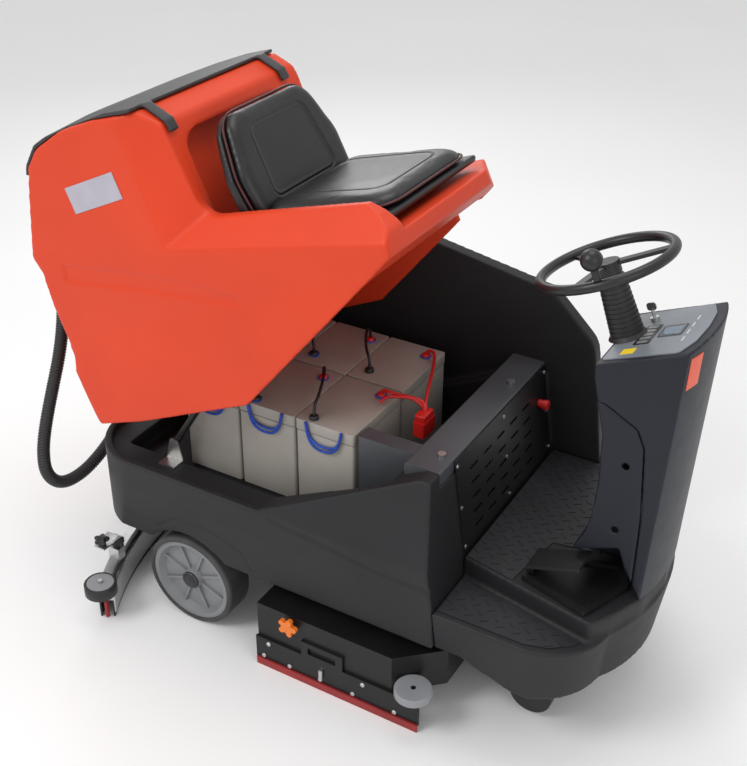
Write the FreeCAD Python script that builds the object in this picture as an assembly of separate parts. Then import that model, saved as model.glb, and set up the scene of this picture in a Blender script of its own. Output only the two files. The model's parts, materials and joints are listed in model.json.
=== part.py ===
import FreeCAD, Part
import math
import os

os.makedirs("parts", exist_ok=True)
V = FreeCAD.Vector

# Ride-on floor scrubber with its recovery tank tilted open for battery access.
# Millimetres, +X forward, +Y to the operator's left, +Z up, floor at Z = 0.

# ---------------------------------------------------------------- driving dimensions
HALF_W = 408.0            # half width of the lower body at its widest
BODY_REAR_X = -794.0
BODY_FRONT_X = 382.0      # where the body meets the front base, at step height
BODY_BOTTOM_Z = 262.0
RIM_Z = 512.0             # rim of the battery well
NOTCH_X = -160.0          # rim turns upwards here
BEAM_TOP_Z = 740.0
BEAM_THICK = 40.0
BEAM_FRONT_X = 334.0
BEAM_WIDTH = 102.0
RIM_FRONT_X = 300.0       # rim reaches the beam's height here
TOP_HALF_W = 341.0        # half width of the near side at the beam's height
LIP = 22.0                # width and depth of the rim's lip

WALL_IN_Y = 364.0         # inner face of the tall left wall
STOP_KNOB = (303.0, 637.0)  # Y and Z on the louvred panel

PLATFORM_Z = 450.0
STEP_Z = 392.0
PLATFORM_EDGE_Y = -225.0
NOSE_X = 863.0
BUMPER_Z = 200.0

WHEEL_R = 150.0
WHEEL_W = 95.0
WHEEL_X = -420.0
WHEEL_FACE_Y = 400.0
ARCH_R = 172.0

DRIVE_X = 600.0
DRIVE_R = 125.0
DRIVE_W = 90.0

HINGE_X = -825.0          # recovery tank hinge
HINGE_Z = 555.0
OPEN_ANGLE = 25.0         # tilt of the tank at rest, from closed

BAT_L = 260.0             # battery along Y
BAT_W = 188.0             # battery along X
BAT_H = 280.0
BAT_PITCH = 190.0
BAT_BOTTOM_Z = 445.0
BAT_X0 = -517.0           # rear face of the rear battery
BAT_ROWS = (-237.0, 30.0)  # lower Y of each row

STEER_X = 607.0
STEER_Z = 1271.0
STEER_R = 162.0           # to the middle of the rim
STEER_TUBE = 13.0
COLUMN_TILT = 22.3        # column leans back from upright

CONSOLE_HW = 150.0
PANEL_REAR = (655.0, 1082.0)
PANEL_FRONT = (880.0, 1177.0)

DECK_X = (-150.0, 400.0)
DECK_HALF_Y = 436.0
DECK_Z = (95.0, 215.0)
BRUSH_R = 200.0
BRUSH_Y = 215.0

SQUEEGEE_TIP = (-650.0, 520.0)
SQUEEGEE_BACK_X = -790.0
SQUEEGEE_PIVOT = (-500.0, 245.0)
ROLLER_R = 48.0

HOSE_D = 40.0
TANK_SPIGOT = (-765.0, -205.0, 905.0)  # its mouth, with the tank closed
BODY_SPIGOT = (-820.0, -112.0, 390.0)

PARTS = {}


# ---------------------------------------------------------------- helpers
def box(x0, x1, y0, y1, z0, z1):
    return Part.makeBox(x1 - x0, y1 - y0, z1 - z0, V(x0, y0, z0))


def cyl(centre, radius, length, axis):
    """Cylinder from centre, running length along axis."""
    return Part.makeCylinder(radius, length, V(*centre), V(*axis))


def rounded_wire(points, radius, place):
    """Closed outline with tangent arcs at its corners; place maps (a, b) to 3-D."""
    count = len(points)
    radii = radius if isinstance(radius, (list, tuple)) else [radius] * count
    corners = []
    for i, point in enumerate(points):
        p = V(point[0], point[1], 0)
        before = V(*points[i - 1], 0) - p
        after = V(*points[(i + 1) % count], 0) - p
        if radii[i] <= 0:
            corners.append((p, None, p))
            continue
        half = before.getAngle(after) / 2.0
        cut = radii[i] / math.tan(half)
        u = V(before).normalize()
        w = V(after).normalize()
        middle = V(u + w).normalize()
        centre = p + middle * (radii[i] / math.sin(half))
        corners.append((p + u * cut, centre - middle * radii[i], p + w * cut))
    edges = []
    for i, (start, mid, end) in enumerate(corners):
        if mid is not None:
            edges.append(Part.Arc(place(start), place(mid), place(end)).toShape())
        following = corners[(i + 1) % count][0]
        if (end - following).Length > 1e-6:
            edges.append(Part.makeLine(place(end), place(following)))
    return Part.Wire(edges)


def prism_xz(points, y0, y1, radius=0):
    face = Part.Face(rounded_wire(points, radius, lambda p: V(p.x, y0, p.y)))
    return face.extrude(V(0, y1 - y0, 0))


def prism_xy(points, z0, z1, radius=0):
    face = Part.Face(rounded_wire(points, radius, lambda p: V(p.x, p.y, z0)))
    return face.extrude(V(0, 0, z1 - z0))


def prism_yz(points, x0, x1, radius=0):
    face = Part.Face(rounded_wire(points, radius, lambda p: V(x0, p.x, p.y)))
    return face.extrude(V(x1 - x0, 0, 0))


def fuse(shapes):
    result = shapes[0]
    for shape in shapes[1:]:
        result = result.fuse(shape)
    return result.removeSplitter()


def group(shapes):
    return Part.Compound(list(shapes))


def turned(shape, centre, axis, angle):
    copy = shape.copy()
    copy.rotate(V(*centre), V(*axis), angle)
    return copy


def opened(shape):
    """Moves a shape from the tank's closed place to its open place."""
    return turned(shape, (HINGE_X, 0, HINGE_Z), (0, -1, 0), OPEN_ANGLE)


def tube(points, diameter, label=None):
    """Tube along straight runs joined by tangent arcs."""
    pts = [V(*p) for p in points]
    edges = []
    radii = []
    start = pts[0]
    for i in range(1, len(pts) - 1):
        back = pts[i - 1] - pts[i]
        ahead = pts[i + 1] - pts[i]
        turn = math.pi - back.getAngle(ahead)
        run = min(back.Length, ahead.Length)
        cut = 0.45 * run
        radius = cut / math.tan(turn / 2.0)
        radii.append(radius)
        u = V(back).normalize()
        w = V(ahead).normalize()
        middle = V(u + w).normalize()
        a = pts[i] + u * cut
        b = pts[i] + w * cut
        centre = pts[i] + middle * (radius / math.cos(turn / 2.0))
        edges.append(Part.makeLine(start, a))
        edges.append(Part.Arc(a, centre - middle * radius, b).toShape())
        start = b
    edges.append(Part.makeLine(start, pts[-1]))
    path = Part.Wire(edges)
    profile = Part.Wire([Part.makeCircle(diameter / 2.0, pts[0], pts[1] - pts[0])])
    solid = path.makePipeShell([profile], True, True)
    if label:
        expected = math.pi * diameter ** 2 / 4.0 * path.Length
        print(label, "length", round(path.Length, 1), "volume ratio", round(solid.Volume / expected, 4),
              "radii", [round(r) for r in radii])
    return solid


# ---------------------------------------------------------------- lower body
def rim_line(x):
    """Height of the near rim over the rising stretch."""
    slope = (BEAM_TOP_Z - RIM_Z) / (RIM_FRONT_X - NOTCH_X)
    return RIM_Z + slope * (x - NOTCH_X)


def body_section(inset):
    """Cross-section across the machine: upright sides that lean in above the rim."""
    side = HALF_W - inset
    top = TOP_HALF_W - inset
    lean_z = BEAM_TOP_Z
    return [(-side + 10, BODY_BOTTOM_Z - 1), (-side, 420), (-side, RIM_Z), (-top, lean_z), (-top, 1200),
            (side, 1200), (side, 420), (side - 10, BODY_BOTTOM_Z - 1)]


def make_lower_body():
    rear_radius = 190.0
    plan = prism_xy([(BODY_REAR_X, -HALF_W), (BODY_FRONT_X, -HALF_W), (BODY_FRONT_X, HALF_W),
                     (BODY_REAR_X, HALF_W)], BODY_BOTTOM_Z, 1200, [rear_radius, 0, 0, rear_radius])
    section = prism_yz(body_section(0), BODY_REAR_X - 1, BODY_FRONT_X + 1)
    near_side = prism_xz([(BODY_REAR_X - 1, BODY_BOTTOM_Z), (BODY_FRONT_X, BODY_BOTTOM_Z), (BODY_FRONT_X, 400),
                          (BEAM_FRONT_X, BEAM_TOP_Z), (RIM_FRONT_X, BEAM_TOP_Z), (NOTCH_X, RIM_Z),
                          (BODY_REAR_X - 1, RIM_Z)], -HALF_W - 1, WALL_IN_Y)
    wall_profile = [(BODY_REAR_X - 1, BODY_BOTTOM_Z), (BODY_FRONT_X, BODY_BOTTOM_Z), (BODY_FRONT_X, PLATFORM_Z),
                    (530, PLATFORM_Z), (505, 670), (478, 835), (340, 968), (-60, 1038), (-340, 1080),
                    (-600, 900), (-700, RIM_Z + 20), (BODY_REAR_X - 1, RIM_Z)]
    wall_radii = [0, 0, 0, 0, 0, 90, 60, 0, 140, 120, 60, 0]
    wall = prism_xz(wall_profile, WALL_IN_Y, HALF_W + 1, wall_radii)
    long_plan = prism_xy([(BODY_REAR_X, -HALF_W), (560, -HALF_W), (560, HALF_W), (BODY_REAR_X, HALF_W)],
                         BODY_BOTTOM_Z, 1200, [rear_radius, 0, 0, rear_radius])
    wide_section = prism_yz(body_section(0), BODY_REAR_X - 1, 561)
    body = near_side.common(plan).common(section).fuse(wall.common(long_plan).common(wide_section))

    ledge = prism_xz([(BODY_REAR_X + LIP, RIM_Z - LIP), (NOTCH_X - 5, RIM_Z - LIP), (215, rim_line(215) - LIP),
                      (215, 1300), (BODY_REAR_X + LIP, 1300)], -HALF_W, WALL_IN_Y)
    inner_plan = prism_xy([(BODY_REAR_X + LIP, -HALF_W + LIP), (560, -HALF_W + LIP), (560, WALL_IN_Y),
                           (BODY_REAR_X + LIP, WALL_IN_Y)], 300, 1300,
                          [rear_radius - LIP, 0, 0, rear_radius - LIP])
    inner_section = prism_yz(body_section(LIP), BODY_REAR_X, 561)
    body = body.cut(ledge.common(inner_plan).common(inner_section))
    body = body.cut(box(215, 400, -290, WALL_IN_Y, BEAM_TOP_Z - BEAM_THICK, 1300))
    body = body.cut(box(-690, 215, -300, 325, 440, 1300))
    # bay for the controller and pump behind the louvred panel
    body = body.cut(box(240, 420, -205, 345, 465, 688))
    # open space under the body for the brush deck, its motors and the chassis
    body = body.cut(box(-235, 362, -385, 385, BODY_BOTTOM_Z - 1, 425))
    body = body.cut(box(340, 400, -130, 130, BODY_BOTTOM_Z - 1, 362))
    body = body.cut(box(BODY_REAR_X - 1, -230, -130, 130, BODY_BOTTOM_Z - 1, 362))
    for side in (-1, 1):
        y0 = side * HALF_W - 5 if side < 0 else 285
        body = body.cut(cyl((WHEEL_X, y0, WHEEL_R), ARCH_R, HALF_W + 5 - 285, (0, 1, 0)))
    # suction spigot on the rear wall
    x, y, z = BODY_SPIGOT
    spigot = cyl((x, y, z), HOSE_D / 2 + 4, 40, (1, 0, 0))
    bore = cyl((x - 1, y, z), HOSE_D / 2 - 4, 40, (1, 0, 0))
    return body.fuse(spigot).cut(bore).removeSplitter()


# ---------------------------------------------------------------- front base
def nose_wire(z, half_w, nose_x, start_x):
    """Plan outline of the front base at one height."""
    side_x = 640.0
    flank = (nose_x - 113, half_w - 54)
    corner = (nose_x - 62, half_w - 165)
    edges = [
        Part.makeLine(V(start_x, -half_w, z), V(side_x, -half_w, z)),
        Part.Arc(V(side_x, -half_w, z), V(flank[0], -flank[1], z), V(corner[0], -corner[1], z)).toShape(),
        Part.Arc(V(corner[0], -corner[1], z), V(nose_x, 0, z), V(corner[0], corner[1], z)).toShape(),
        Part.Arc(V(corner[0], corner[1], z), V(flank[0], flank[1], z), V(side_x, half_w, z)).toShape(),
        Part.makeLine(V(side_x, half_w, z), V(start_x, half_w, z)),
        Part.makeLine(V(start_x, half_w, z), V(start_x, -half_w, z)),
    ]
    return Part.Wire(edges)


def platform_outline():
    return [(BODY_FRONT_X, PLATFORM_EDGE_Y), (765, -300), (800, -238), (842, -140), (NOSE_X - 4, 0),
            (842, 140), (800, 238), (745, 345), (640, HALF_W - 4), (BODY_FRONT_X, HALF_W - 4)]


def make_front_base():
    lower = nose_wire(BUMPER_Z, 374, NOSE_X - 26, BODY_FRONT_X)
    middle = nose_wire(STEP_Z, HALF_W, NOSE_X, BODY_FRONT_X)
    base = Part.makeLoft([lower, middle], True, True)
    base = base.fuse(prism_xy(platform_outline(), STEP_Z - 5, PLATFORM_Z, [0, 12, 40, 60, 60, 60, 60, 90, 60, 0]))
    sill = prism_xz([(BODY_FRONT_X - 1, BUMPER_Z - 1), (605, BUMPER_Z - 1), (455, BODY_BOTTOM_Z),
                     (BODY_FRONT_X - 1, BODY_BOTTOM_Z)], -HALF_W - 5, HALF_W + 5)
    base = base.cut(sill)
    skin = 20.0
    hollow_low = nose_wire(BUMPER_Z - 1, 374 - skin, NOSE_X - 26 - skin, BODY_FRONT_X + skin)
    hollow_top = nose_wire(STEP_Z - skin, HALF_W - skin - 5, NOSE_X - skin - 5, BODY_FRONT_X + skin)
    base = base.cut(Part.makeLoft([hollow_low, hollow_top], True, True))
    base = base.cut(box(BODY_FRONT_X + skin, 800, -195, 195, STEP_Z - skin - 5, PLATFORM_Z - skin))
    base = base.cut(box(BODY_FRONT_X - 2, BODY_FRONT_X + skin + 1, -130, 130, BUMPER_Z, 362))
    return base.removeSplitter()


def mat_with_treads(outline, z, thick, x_range, y_range, pitch):
    """Flat rubber mat with short raised bars in alternating directions."""
    mat = prism_xy(outline, z, z + thick)
    bars = []
    row = 0
    y = y_range[0]
    while y < y_range[1]:
        x = x_range[0] + (pitch / 2.0 if row % 2 else 0)
        while x < x_range[1]:
            bar = box(x - 11, x + 11, y - 2, y + 2, z + thick - 0.5, z + thick + 1.5)
            angle = 35 if row % 2 else -35
            bars.append(turned(bar, (x, y, z), (0, 0, 1), angle))
            x += pitch
        y += pitch / 2.0
        row += 1
    inner = prism_xy(outline, z, z + thick + 2)
    kept = [bar for bar in bars if bar.common(inner).Volume > 0.98 * bar.Volume]
    return mat.fuse(kept).removeSplitter()


def make_platform_mat():
    outline = [(BODY_FRONT_X + 6, PLATFORM_EDGE_Y + 8), (530, PLATFORM_EDGE_Y - 20), (560, -50), (684, -28),
               (684, 200), (640, 355), (540, 358), (BODY_FRONT_X + 6, 358)]
    return mat_with_treads(outline, PLATFORM_Z, 3.0, (400, 680), (-230, 350), 44.0)


def make_step_mat():
    outline = [(BODY_FRONT_X + 8, -388), (630, -388), (690, -370), (735, -335), (750, -312),
               (BODY_FRONT_X + 8, PLATFORM_EDGE_Y - 14)]
    return mat_with_treads(outline, STEP_Z, 3.0, (400, 740), (-385, -240), 44.0)


# ---------------------------------------------------------------- console
def console_outline(z, half_w, rear_x, front_x, nose):
    edges = [
        Part.makeLine(V(rear_x, half_w, z), V(rear_x, -half_w, z)),
        Part.makeLine(V(rear_x, -half_w, z), V(front_x, -half_w, z)),
        Part.Arc(V(front_x, -half_w, z), V(nose, 0, z), V(front_x, half_w, z)).toShape(),
        Part.makeLine(V(front_x, half_w, z), V(rear_x, half_w, z)),
    ]
    return Part.Wire(edges)


def panel_slope():
    return math.degrees(math.atan2(PANEL_FRONT[1] - PANEL_REAR[1], PANEL_FRONT[0] - PANEL_REAR[0]))


def console_profile():
    """Side view of the console, open underneath over the pedal."""
    return [PANEL_REAR, (656, 1050), (691, 900), (695, 767), (688, 658), (676, 604), (648, 545), (662, 545),
            (768, 588), (790, 532), (838, PLATFORM_Z), (1000, PLATFORM_Z), (1000, 1228)]


def make_console():
    low = console_outline(PLATFORM_Z, CONSOLE_HW + 6, 640, 838, NOSE_X - 2)
    high = console_outline(1200, CONSOLE_HW, 640, 868, 893)
    outer = Part.makeLoft([low, high], True, True)
    outer = outer.common(prism_xz(console_profile(), -200, 200))
    skin = 8.0
    low_in = console_outline(PLATFORM_Z - 1, CONSOLE_HW - 4, 700, 830, NOSE_X - 14)
    high_in = console_outline(1140, CONSOLE_HW - skin, 700, 858, 880)
    inner = Part.makeLoft([low_in, high_in], True, True)
    slope_cut = prism_xz([(600, 400), (1000, 400), (1000, 1195), (PANEL_FRONT[0], PANEL_FRONT[1] - 12),
                          (PANEL_REAR[0], PANEL_REAR[1] - 12), (600, 1050)], -200, 200)
    shell = outer.cut(inner.common(slope_cut))
    stem = box(650, 760, -20, CONSOLE_HW - 5, PLATFORM_Z + 3.2, 620)
    stem = stem.cut(box(662, 748, -8, CONSOLE_HW - 17, PLATFORM_Z, 640))
    cover_zone = prism_xz([(600, PLATFORM_Z), (812, PLATFORM_Z), (812, 690), (796, 893), (774, 940), (690, 985),
                           (600, 985)], -200, 200, [0, 0, 60, 30, 20, 0, 0])
    cover = shell.common(cover_zone).fuse(stem)
    gap_zone = prism_xz([(599, PLATFORM_Z - 1), (813, PLATFORM_Z - 1), (813, 690), (797, 894), (775, 941),
                         (690, 986), (599, 986)], -200, 200, [0, 0, 60, 30, 20, 0, 0])
    upper = shell.cut(gap_zone)
    # countersunk screw recesses, two on each side
    for x, z in ((758, 831), (752, 640)):
        cover = cover.cut(cyl((x, -CONSOLE_HW - 10, z), 9, 2 * CONSOLE_HW + 20, (0, 1, 0)))
    # opening for the steering column in the sloped top
    axis = V(-math.sin(math.radians(COLUMN_TILT)), 0, math.cos(math.radians(COLUMN_TILT)))
    foot = V(STEER_X, 0, STEER_Z) - axis * 420
    upper = upper.cut(Part.makeCylinder(30, 420, foot, axis))
    return upper.removeSplitter(), cover.removeSplitter()


def on_panel(shape):
    """Moves a shape drawn flat at Z = 0, X forward, onto the sloped console top."""
    copy = shape.copy()
    copy.rotate(V(0, 0, 0), V(0, -1, 0), panel_slope())
    copy.translate(V(PANEL_REAR[0], 0, PANEL_REAR[1]))
    return copy


def make_control_panel():
    length = math.hypot(PANEL_FRONT[0] - PANEL_REAR[0], PANEL_FRONT[1] - PANEL_REAR[1])
    plate = prism_xy([(10, -130), (length - 42, -138), (length - 20, -80), (length - 14, 0), (length - 20, 80),
                      (length - 42, 138), (10, 130)], 0.0, 3.0, [8, 14, 30, 40, 30, 14, 8])
    window = box(118, 168, -28, 22, 2.5, 4.0)
    plate = plate.fuse(window)
    plate = plate.cut(cyl((26, 0, -1), 31, 10, (0, 0, 1)))
    plate = plate.cut(cyl((70, 78, -1), 11.2, 10, (0, 0, 1)))
    return on_panel(plate)


def make_key():
    barrel = cyl((70, 78, 0.2), 11, 12, (0, 0, 1))
    blade = box(69, 71, 70, 86, 12, 34)
    bow = prism_xz([(58, 30), (82, 30), (82, 50), (58, 50)], 76, 79.5, 7)
    return on_panel(fuse([barrel, blade, bow]))


def column_axis():
    a = math.radians(COLUMN_TILT)
    return V(-math.sin(a), 0, math.cos(a))


def make_steering_boot():
    axis = column_axis()
    centre = V(STEER_X, 0, STEER_Z)
    base = centre - axis * 189
    collar = Part.makeCone(48, 42, 10, base, axis)
    body = Part.makeCone(39, 32, 145, base + axis * 10, axis)
    boot = collar.fuse(body)
    ribs = 11
    for i in range(ribs):
        place = base + axis * (16 + i * 12)
        radius = 41 - 7.0 * i / ribs
        boot = boot.fuse(Part.makeCylinder(radius, 6, place, axis))
    return boot.cut(Part.makeCylinder(20, 200, base - axis, axis)).removeSplitter()


def make_steering_wheel():
    axis = column_axis()
    centre = V(STEER_X, 0, STEER_Z)
    rim = Part.makeTorus(STEER_R, STEER_TUBE, centre, axis)
    hub = Part.makeCylinder(30, 30, centre - axis * 26, axis)
    shaft = Part.makeCylinder(12, 330, centre - axis * 350, axis)
    pieces = [rim, hub, shaft]
    forward = V(math.cos(math.radians(COLUMN_TILT)), 0, math.sin(math.radians(COLUMN_TILT)))
    for angle in (20, 140, 260):
        spoke = Part.makeBox(STEER_R - 14, 24, 9, V(14, -12, -9))
        spoke.rotate(V(0, 0, 0), V(0, 0, 1), angle)
        turn = FreeCAD.Rotation(V(1, 0, 0), forward)
        spoke.rotate(V(0, 0, 0), turn.Axis, math.degrees(turn.Angle))
        spoke.translate(centre)
        pieces.append(spoke)
    return fuse(pieces)


def make_spinner_knob():
    """Ball grip on a short stem, standing on the wheel's rim."""
    axis = column_axis()
    angle = math.radians(-75)
    forward = V(math.cos(math.radians(COLUMN_TILT)), 0, math.sin(math.radians(COLUMN_TILT)))
    foot = V(STEER_X, 0, STEER_Z) + forward * (STEER_R * math.cos(angle)) + V(0, STEER_R * math.sin(angle), 0)
    ball_r = 26.0
    ball_h = 62.0
    stem_r = 9.0
    meet = ball_h - math.sqrt(ball_r ** 2 - stem_r ** 2)
    base = STEER_TUBE + 0.5
    edges = [
        Part.makeLine(V(0, 0, base), V(stem_r, 0, base)),
        Part.makeLine(V(stem_r, 0, base), V(stem_r, 0, meet)),
        Part.Arc(V(stem_r, 0, meet), V(ball_r, 0, ball_h), V(0, 0, ball_h + ball_r)).toShape(),
        Part.makeLine(V(0, 0, ball_h + ball_r), V(0, 0, base)),
    ]
    knob = Part.Face(Part.Wire(edges)).revolve(V(0, 0, 0), V(0, 0, 1), 360)
    turn = FreeCAD.Rotation(V(0, 0, 1), axis)
    knob.rotate(V(0, 0, 0), turn.Axis, math.degrees(turn.Angle))
    knob.translate(foot)
    return knob, foot


# ---------------------------------------------------------------- chassis and running gear
def make_chassis():
    pieces = []
    for side in (-1, 1):
        rail_y = (60, 100) if side > 0 else (-100, -60)
        pieces.append(box(-790, 470, rail_y[0], rail_y[1], 300, 345))
        # rear axle drop plate, stub axle and tank hinge post
        pieces.append(box(-470, -370, rail_y[0], rail_y[1], 130, 302))
        post = (150, 210) if side > 0 else (-210, -150)
        pieces.append(box(-808, -797, post[0], post[1], 290, 530))
        ear = (164, 176) if side > 0 else (-176, -164)
        pieces.append(prism_xz([(-845, 535), (-797, 510), (-797, 590), (-845, 575)], ear[0], ear[1], [12, 0, 0, 12]))
        # squeegee pivot ear under the rail
        squeegee_ear = (62, 74) if side > 0 else (-74, -62)
        pieces.append(box(SQUEEGEE_PIVOT[0] - 20, SQUEEGEE_PIVOT[0] + 20, squeegee_ear[0], squeegee_ear[1],
                          SQUEEGEE_PIVOT[1] - 18, 302))
        # stub axle of the anti-tip roller
        pieces.append(cyl((605, 196 if side > 0 else -240, 78), 8, 44, (0, 1, 0)))
        # bracket for the anti-tip roller
        pieces.append(box(585, 625, 196 if side > 0 else -206, 206 if side > 0 else -196, 60, 340))
    pieces.append(cyl((WHEEL_X, -WHEEL_FACE_Y + 12, WHEEL_R), 16, 2 * WHEEL_FACE_Y - 24, (0, 1, 0)))
    pieces.append(box(-808, -780, -210, 210, 300, 345))
    pieces.append(box(120 - 30, 120 + 40, -100, 100, 300, 308))
    pieces.append(box(455, 745, -206, 206, 330, 345))
    for side in (-1, 1):
        y0 = 160 if side > 0 else -196
        pieces.append(cyl((HINGE_X, y0, HINGE_Z), 8, 36, (0, 1, 0)))
    pieces.append(cyl((SQUEEGEE_PIVOT[0], -76, SQUEEGEE_PIVOT[1]), 8, 152, (0, 1, 0)))
    frame = fuse(pieces)
    frame = frame.cut(cyl((125, 0, 290), 25.5, 40, (0, 0, 1)))
    frame = frame.cut(cyl((DRIVE_X, 0, 320), 28.05, 40, (0, 0, 1)))
    return frame.removeSplitter()


def make_rear_wheel(side):
    """Tyre and hub of one rear wheel; side is -1 on the right."""
    y0 = -WHEEL_FACE_Y if side < 0 else WHEEL_FACE_Y - WHEEL_W
    out = (0, -1, 0) if side < 0 else (0, 1, 0)
    rim_r = 134.0
    tyre = cyl((WHEEL_X, y0, WHEEL_R), WHEEL_R, WHEEL_W, (0, 1, 0))
    edges = [e for e in tyre.Edges if isinstance(e.Curve, Part.Circle)]
    tyre = tyre.makeFillet(9, edges)
    tyre = tyre.cut(cyl((WHEEL_X, y0 - 1, WHEEL_R), rim_r, WHEEL_W + 2, (0, 1, 0)))
    hub = cyl((WHEEL_X, y0 + 4, WHEEL_R), rim_r, WHEEL_W - 8, (0, 1, 0))
    face_y = y0 if side < 0 else y0 + WHEEL_W
    dish = Part.makeCone(122, 108, 26, V(WHEEL_X, face_y, WHEEL_R), V(0, -out[1], 0))
    hub = hub.cut(dish)
    boss = Part.makeCone(34, 26, 30, V(WHEEL_X, face_y - out[1] * 30, WHEEL_R), V(0, out[1], 0))
    hub = hub.fuse(boss)
    for i in range(8):
        rib = box(WHEEL_X + 20, WHEEL_X + 116, -4, 4, WHEEL_R - 0, WHEEL_R + 1)
        rib = Part.makeBox(96, 18, 7, V(WHEEL_X + 20, face_y - out[1] * 27 - (18 if out[1] < 0 else 0), WHEEL_R - 3.5))
        if out[1] < 0:
            rib.translate(V(0, 18, 0))
            rib.translate(V(0, -9, 0))
        hub = hub.fuse(turned(rib, (WHEEL_X, 0, WHEEL_R), (0, 1, 0), 22.5 + i * 45))
    hub = hub.common(cyl((WHEEL_X, y0, WHEEL_R), rim_r, WHEEL_W, (0, 1, 0)))
    hub = hub.cut(cyl((WHEEL_X, y0 - 5, WHEEL_R), 16.06, WHEEL_W + 10, (0, 1, 0)))
    return tyre, hub.removeSplitter()


def make_drive_unit():
    top = cyl((DRIVE_X, 0, 290), 60, 38, (0, 0, 1))
    stem = cyl((DRIVE_X, 0, 300), 28, 44, (0, 0, 1))
    bridge = box(DRIVE_X - 55, DRIVE_X + 55, -78, 78, 272, 292)
    pieces = [top, stem, bridge]
    for y0 in (-78, 62):
        pieces.append(prism_xz([(DRIVE_X - 50, 280), (DRIVE_X + 50, 280), (DRIVE_X + 30, 95), (DRIVE_X - 30, 95)],
                               y0, y0 + 16, [0, 0, 28, 28]))
    motor = cyl((DRIVE_X, -78, DRIVE_R), 55, 60, (0, -1, 0))
    axle = cyl((DRIVE_X, -70, DRIVE_R), 15, 144, (0, 1, 0))
    fork = fuse(pieces + [motor, axle])
    wheel = cyl((DRIVE_X, -DRIVE_W / 2, DRIVE_R), DRIVE_R, DRIVE_W, (0, 1, 0))
    wheel = wheel.makeFillet(10, [e for e in wheel.Edges if isinstance(e.Curve, Part.Circle)])
    wheel = wheel.cut(cyl((DRIVE_X, -DRIVE_W, DRIVE_R), 15.06, 2 * DRIVE_W, (0, 1, 0)))
    return fork, wheel


def make_anti_tip_rollers():
    rollers = []
    for y0 in (-238, 208):
        roller = cyl((605, y0, 78), 60, 30, (0, 1, 0))
        rollers.append(roller.cut(cyl((605, y0 - 1, 78), 8.06, 32, (0, 1, 0))))
    return rollers


# ---------------------------------------------------------------- batteries
def battery_x(i):
    return BAT_X0 + i * BAT_PITCH


def make_battery(x0, y0):
    z1 = BAT_BOTTOM_Z + BAT_H
    case = box(x0, x0 + BAT_W, y0, y0 + BAT_L, BAT_BOTTOM_Z, z1)
    upright = [e for e in case.Edges if abs(e.tangentAt(0).z) > 0.9]
    case = case.makeFillet(8, upright)
    top = [e for e in case.Edges if min(v.Z for v in e.Vertexes) > z1 - 0.1]
    return case.makeFillet(4, top)


def cap_places():
    """Two terminals on each battery: (x, y, is_positive)."""
    places = []
    for row, y0 in enumerate(BAT_ROWS):
        for i in range(3):
            x0 = battery_x(i)
            places.append((x0 + 32, y0 + 28, False))
            places.append((x0 + 150, y0 + (168 if row == 0 else 40), True))
    return places


def make_terminal_caps():
    z = BAT_BOTTOM_Z + BAT_H
    caps = []
    for x, y, positive in cap_places():
        radius = 13 if positive else 12
        caps.append(cyl((x, y, z), radius, 12, (0, 0, 1)))
    return group(caps)


def make_jumper_cables():
    z = BAT_BOTTOM_Z + BAT_H
    cables = []
    places = cap_places()
    for row in (0, 1):
        for i in (0, 1):
            plus = places[row * 6 + i * 2 + 1]
            minus = places[row * 6 + (i + 1) * 2]
            route = [(plus[0], plus[1], z + 12), (plus[0], plus[1], z + 32), (plus[0] + 16, plus[1] - 30, z + 34),
                     (minus[0] - 8, minus[1] + 42, z + 30), (minus[0], minus[1], z + 34), (minus[0], minus[1], z + 12)]
            cables.append(tube(route, 7))
    return group(cables)


def make_rope_handles():
    z = BAT_BOTTOM_Z + BAT_H
    ropes = []
    y = BAT_ROWS[0] - 4.5
    for i in range(3):
        x0 = battery_x(i) + 50
        route = [(x0, y, z - 26), (x0 + 6, y - 3, z - 66), (x0 + 44, y - 4, z - 84), (x0 + 82, y - 3, z - 66),
                 (x0 + 88, y, z - 26)]
        ropes.append(tube(route, 7))
    return group(ropes)


def make_battery_connector():
    x = 148.0
    y = -25.0
    housing = prism_xy([(x - 18, y - 34), (x + 18, y - 34), (x + 18, y + 34), (x - 18, y + 34)], 655, 700, 6)
    lead_a = tube([(x - 8, y + 10, 700), (x - 8, y + 10, 728), (x - 40, y + 2, 752), (x - 100, y - 26, 752),
                   (x - 116, y - 44, 737)], 9)
    return fuse([housing, lead_a])


# ---------------------------------------------------------------- well front: beam, panel, controller
def make_crossbeam():
    beam = box(BEAM_FRONT_X - BEAM_WIDTH, BEAM_FRONT_X, -290, WALL_IN_Y, BEAM_TOP_Z - BEAM_THICK, BEAM_TOP_Z)
    front_edges = [e for e in beam.Edges if abs(e.tangentAt(0).y) > 0.9 and e.Vertexes[0].Z > BEAM_TOP_Z - 1]
    beam = beam.makeFillet(6, front_edges)
    shelf = box(68, 233, -238, -190, 732, 736)
    apron = box(68, 233, -241, -238, 560, 736)
    for x, y in ((300, -215), (300, 205)):
        beam = beam.cut(cyl((x, y, BEAM_TOP_Z - BEAM_THICK - 1), 5.5, BEAM_THICK + 2, (0, 0, 1)))
    return beam.fuse([shelf, apron]).removeSplitter()


def front_face_x(z):
    """X of the well's front face, which leans back with height."""
    slope = (BEAM_FRONT_X - BODY_FRONT_X) / (BEAM_TOP_Z - 400.0)
    return BODY_FRONT_X + slope * (z - 400.0)


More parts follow.
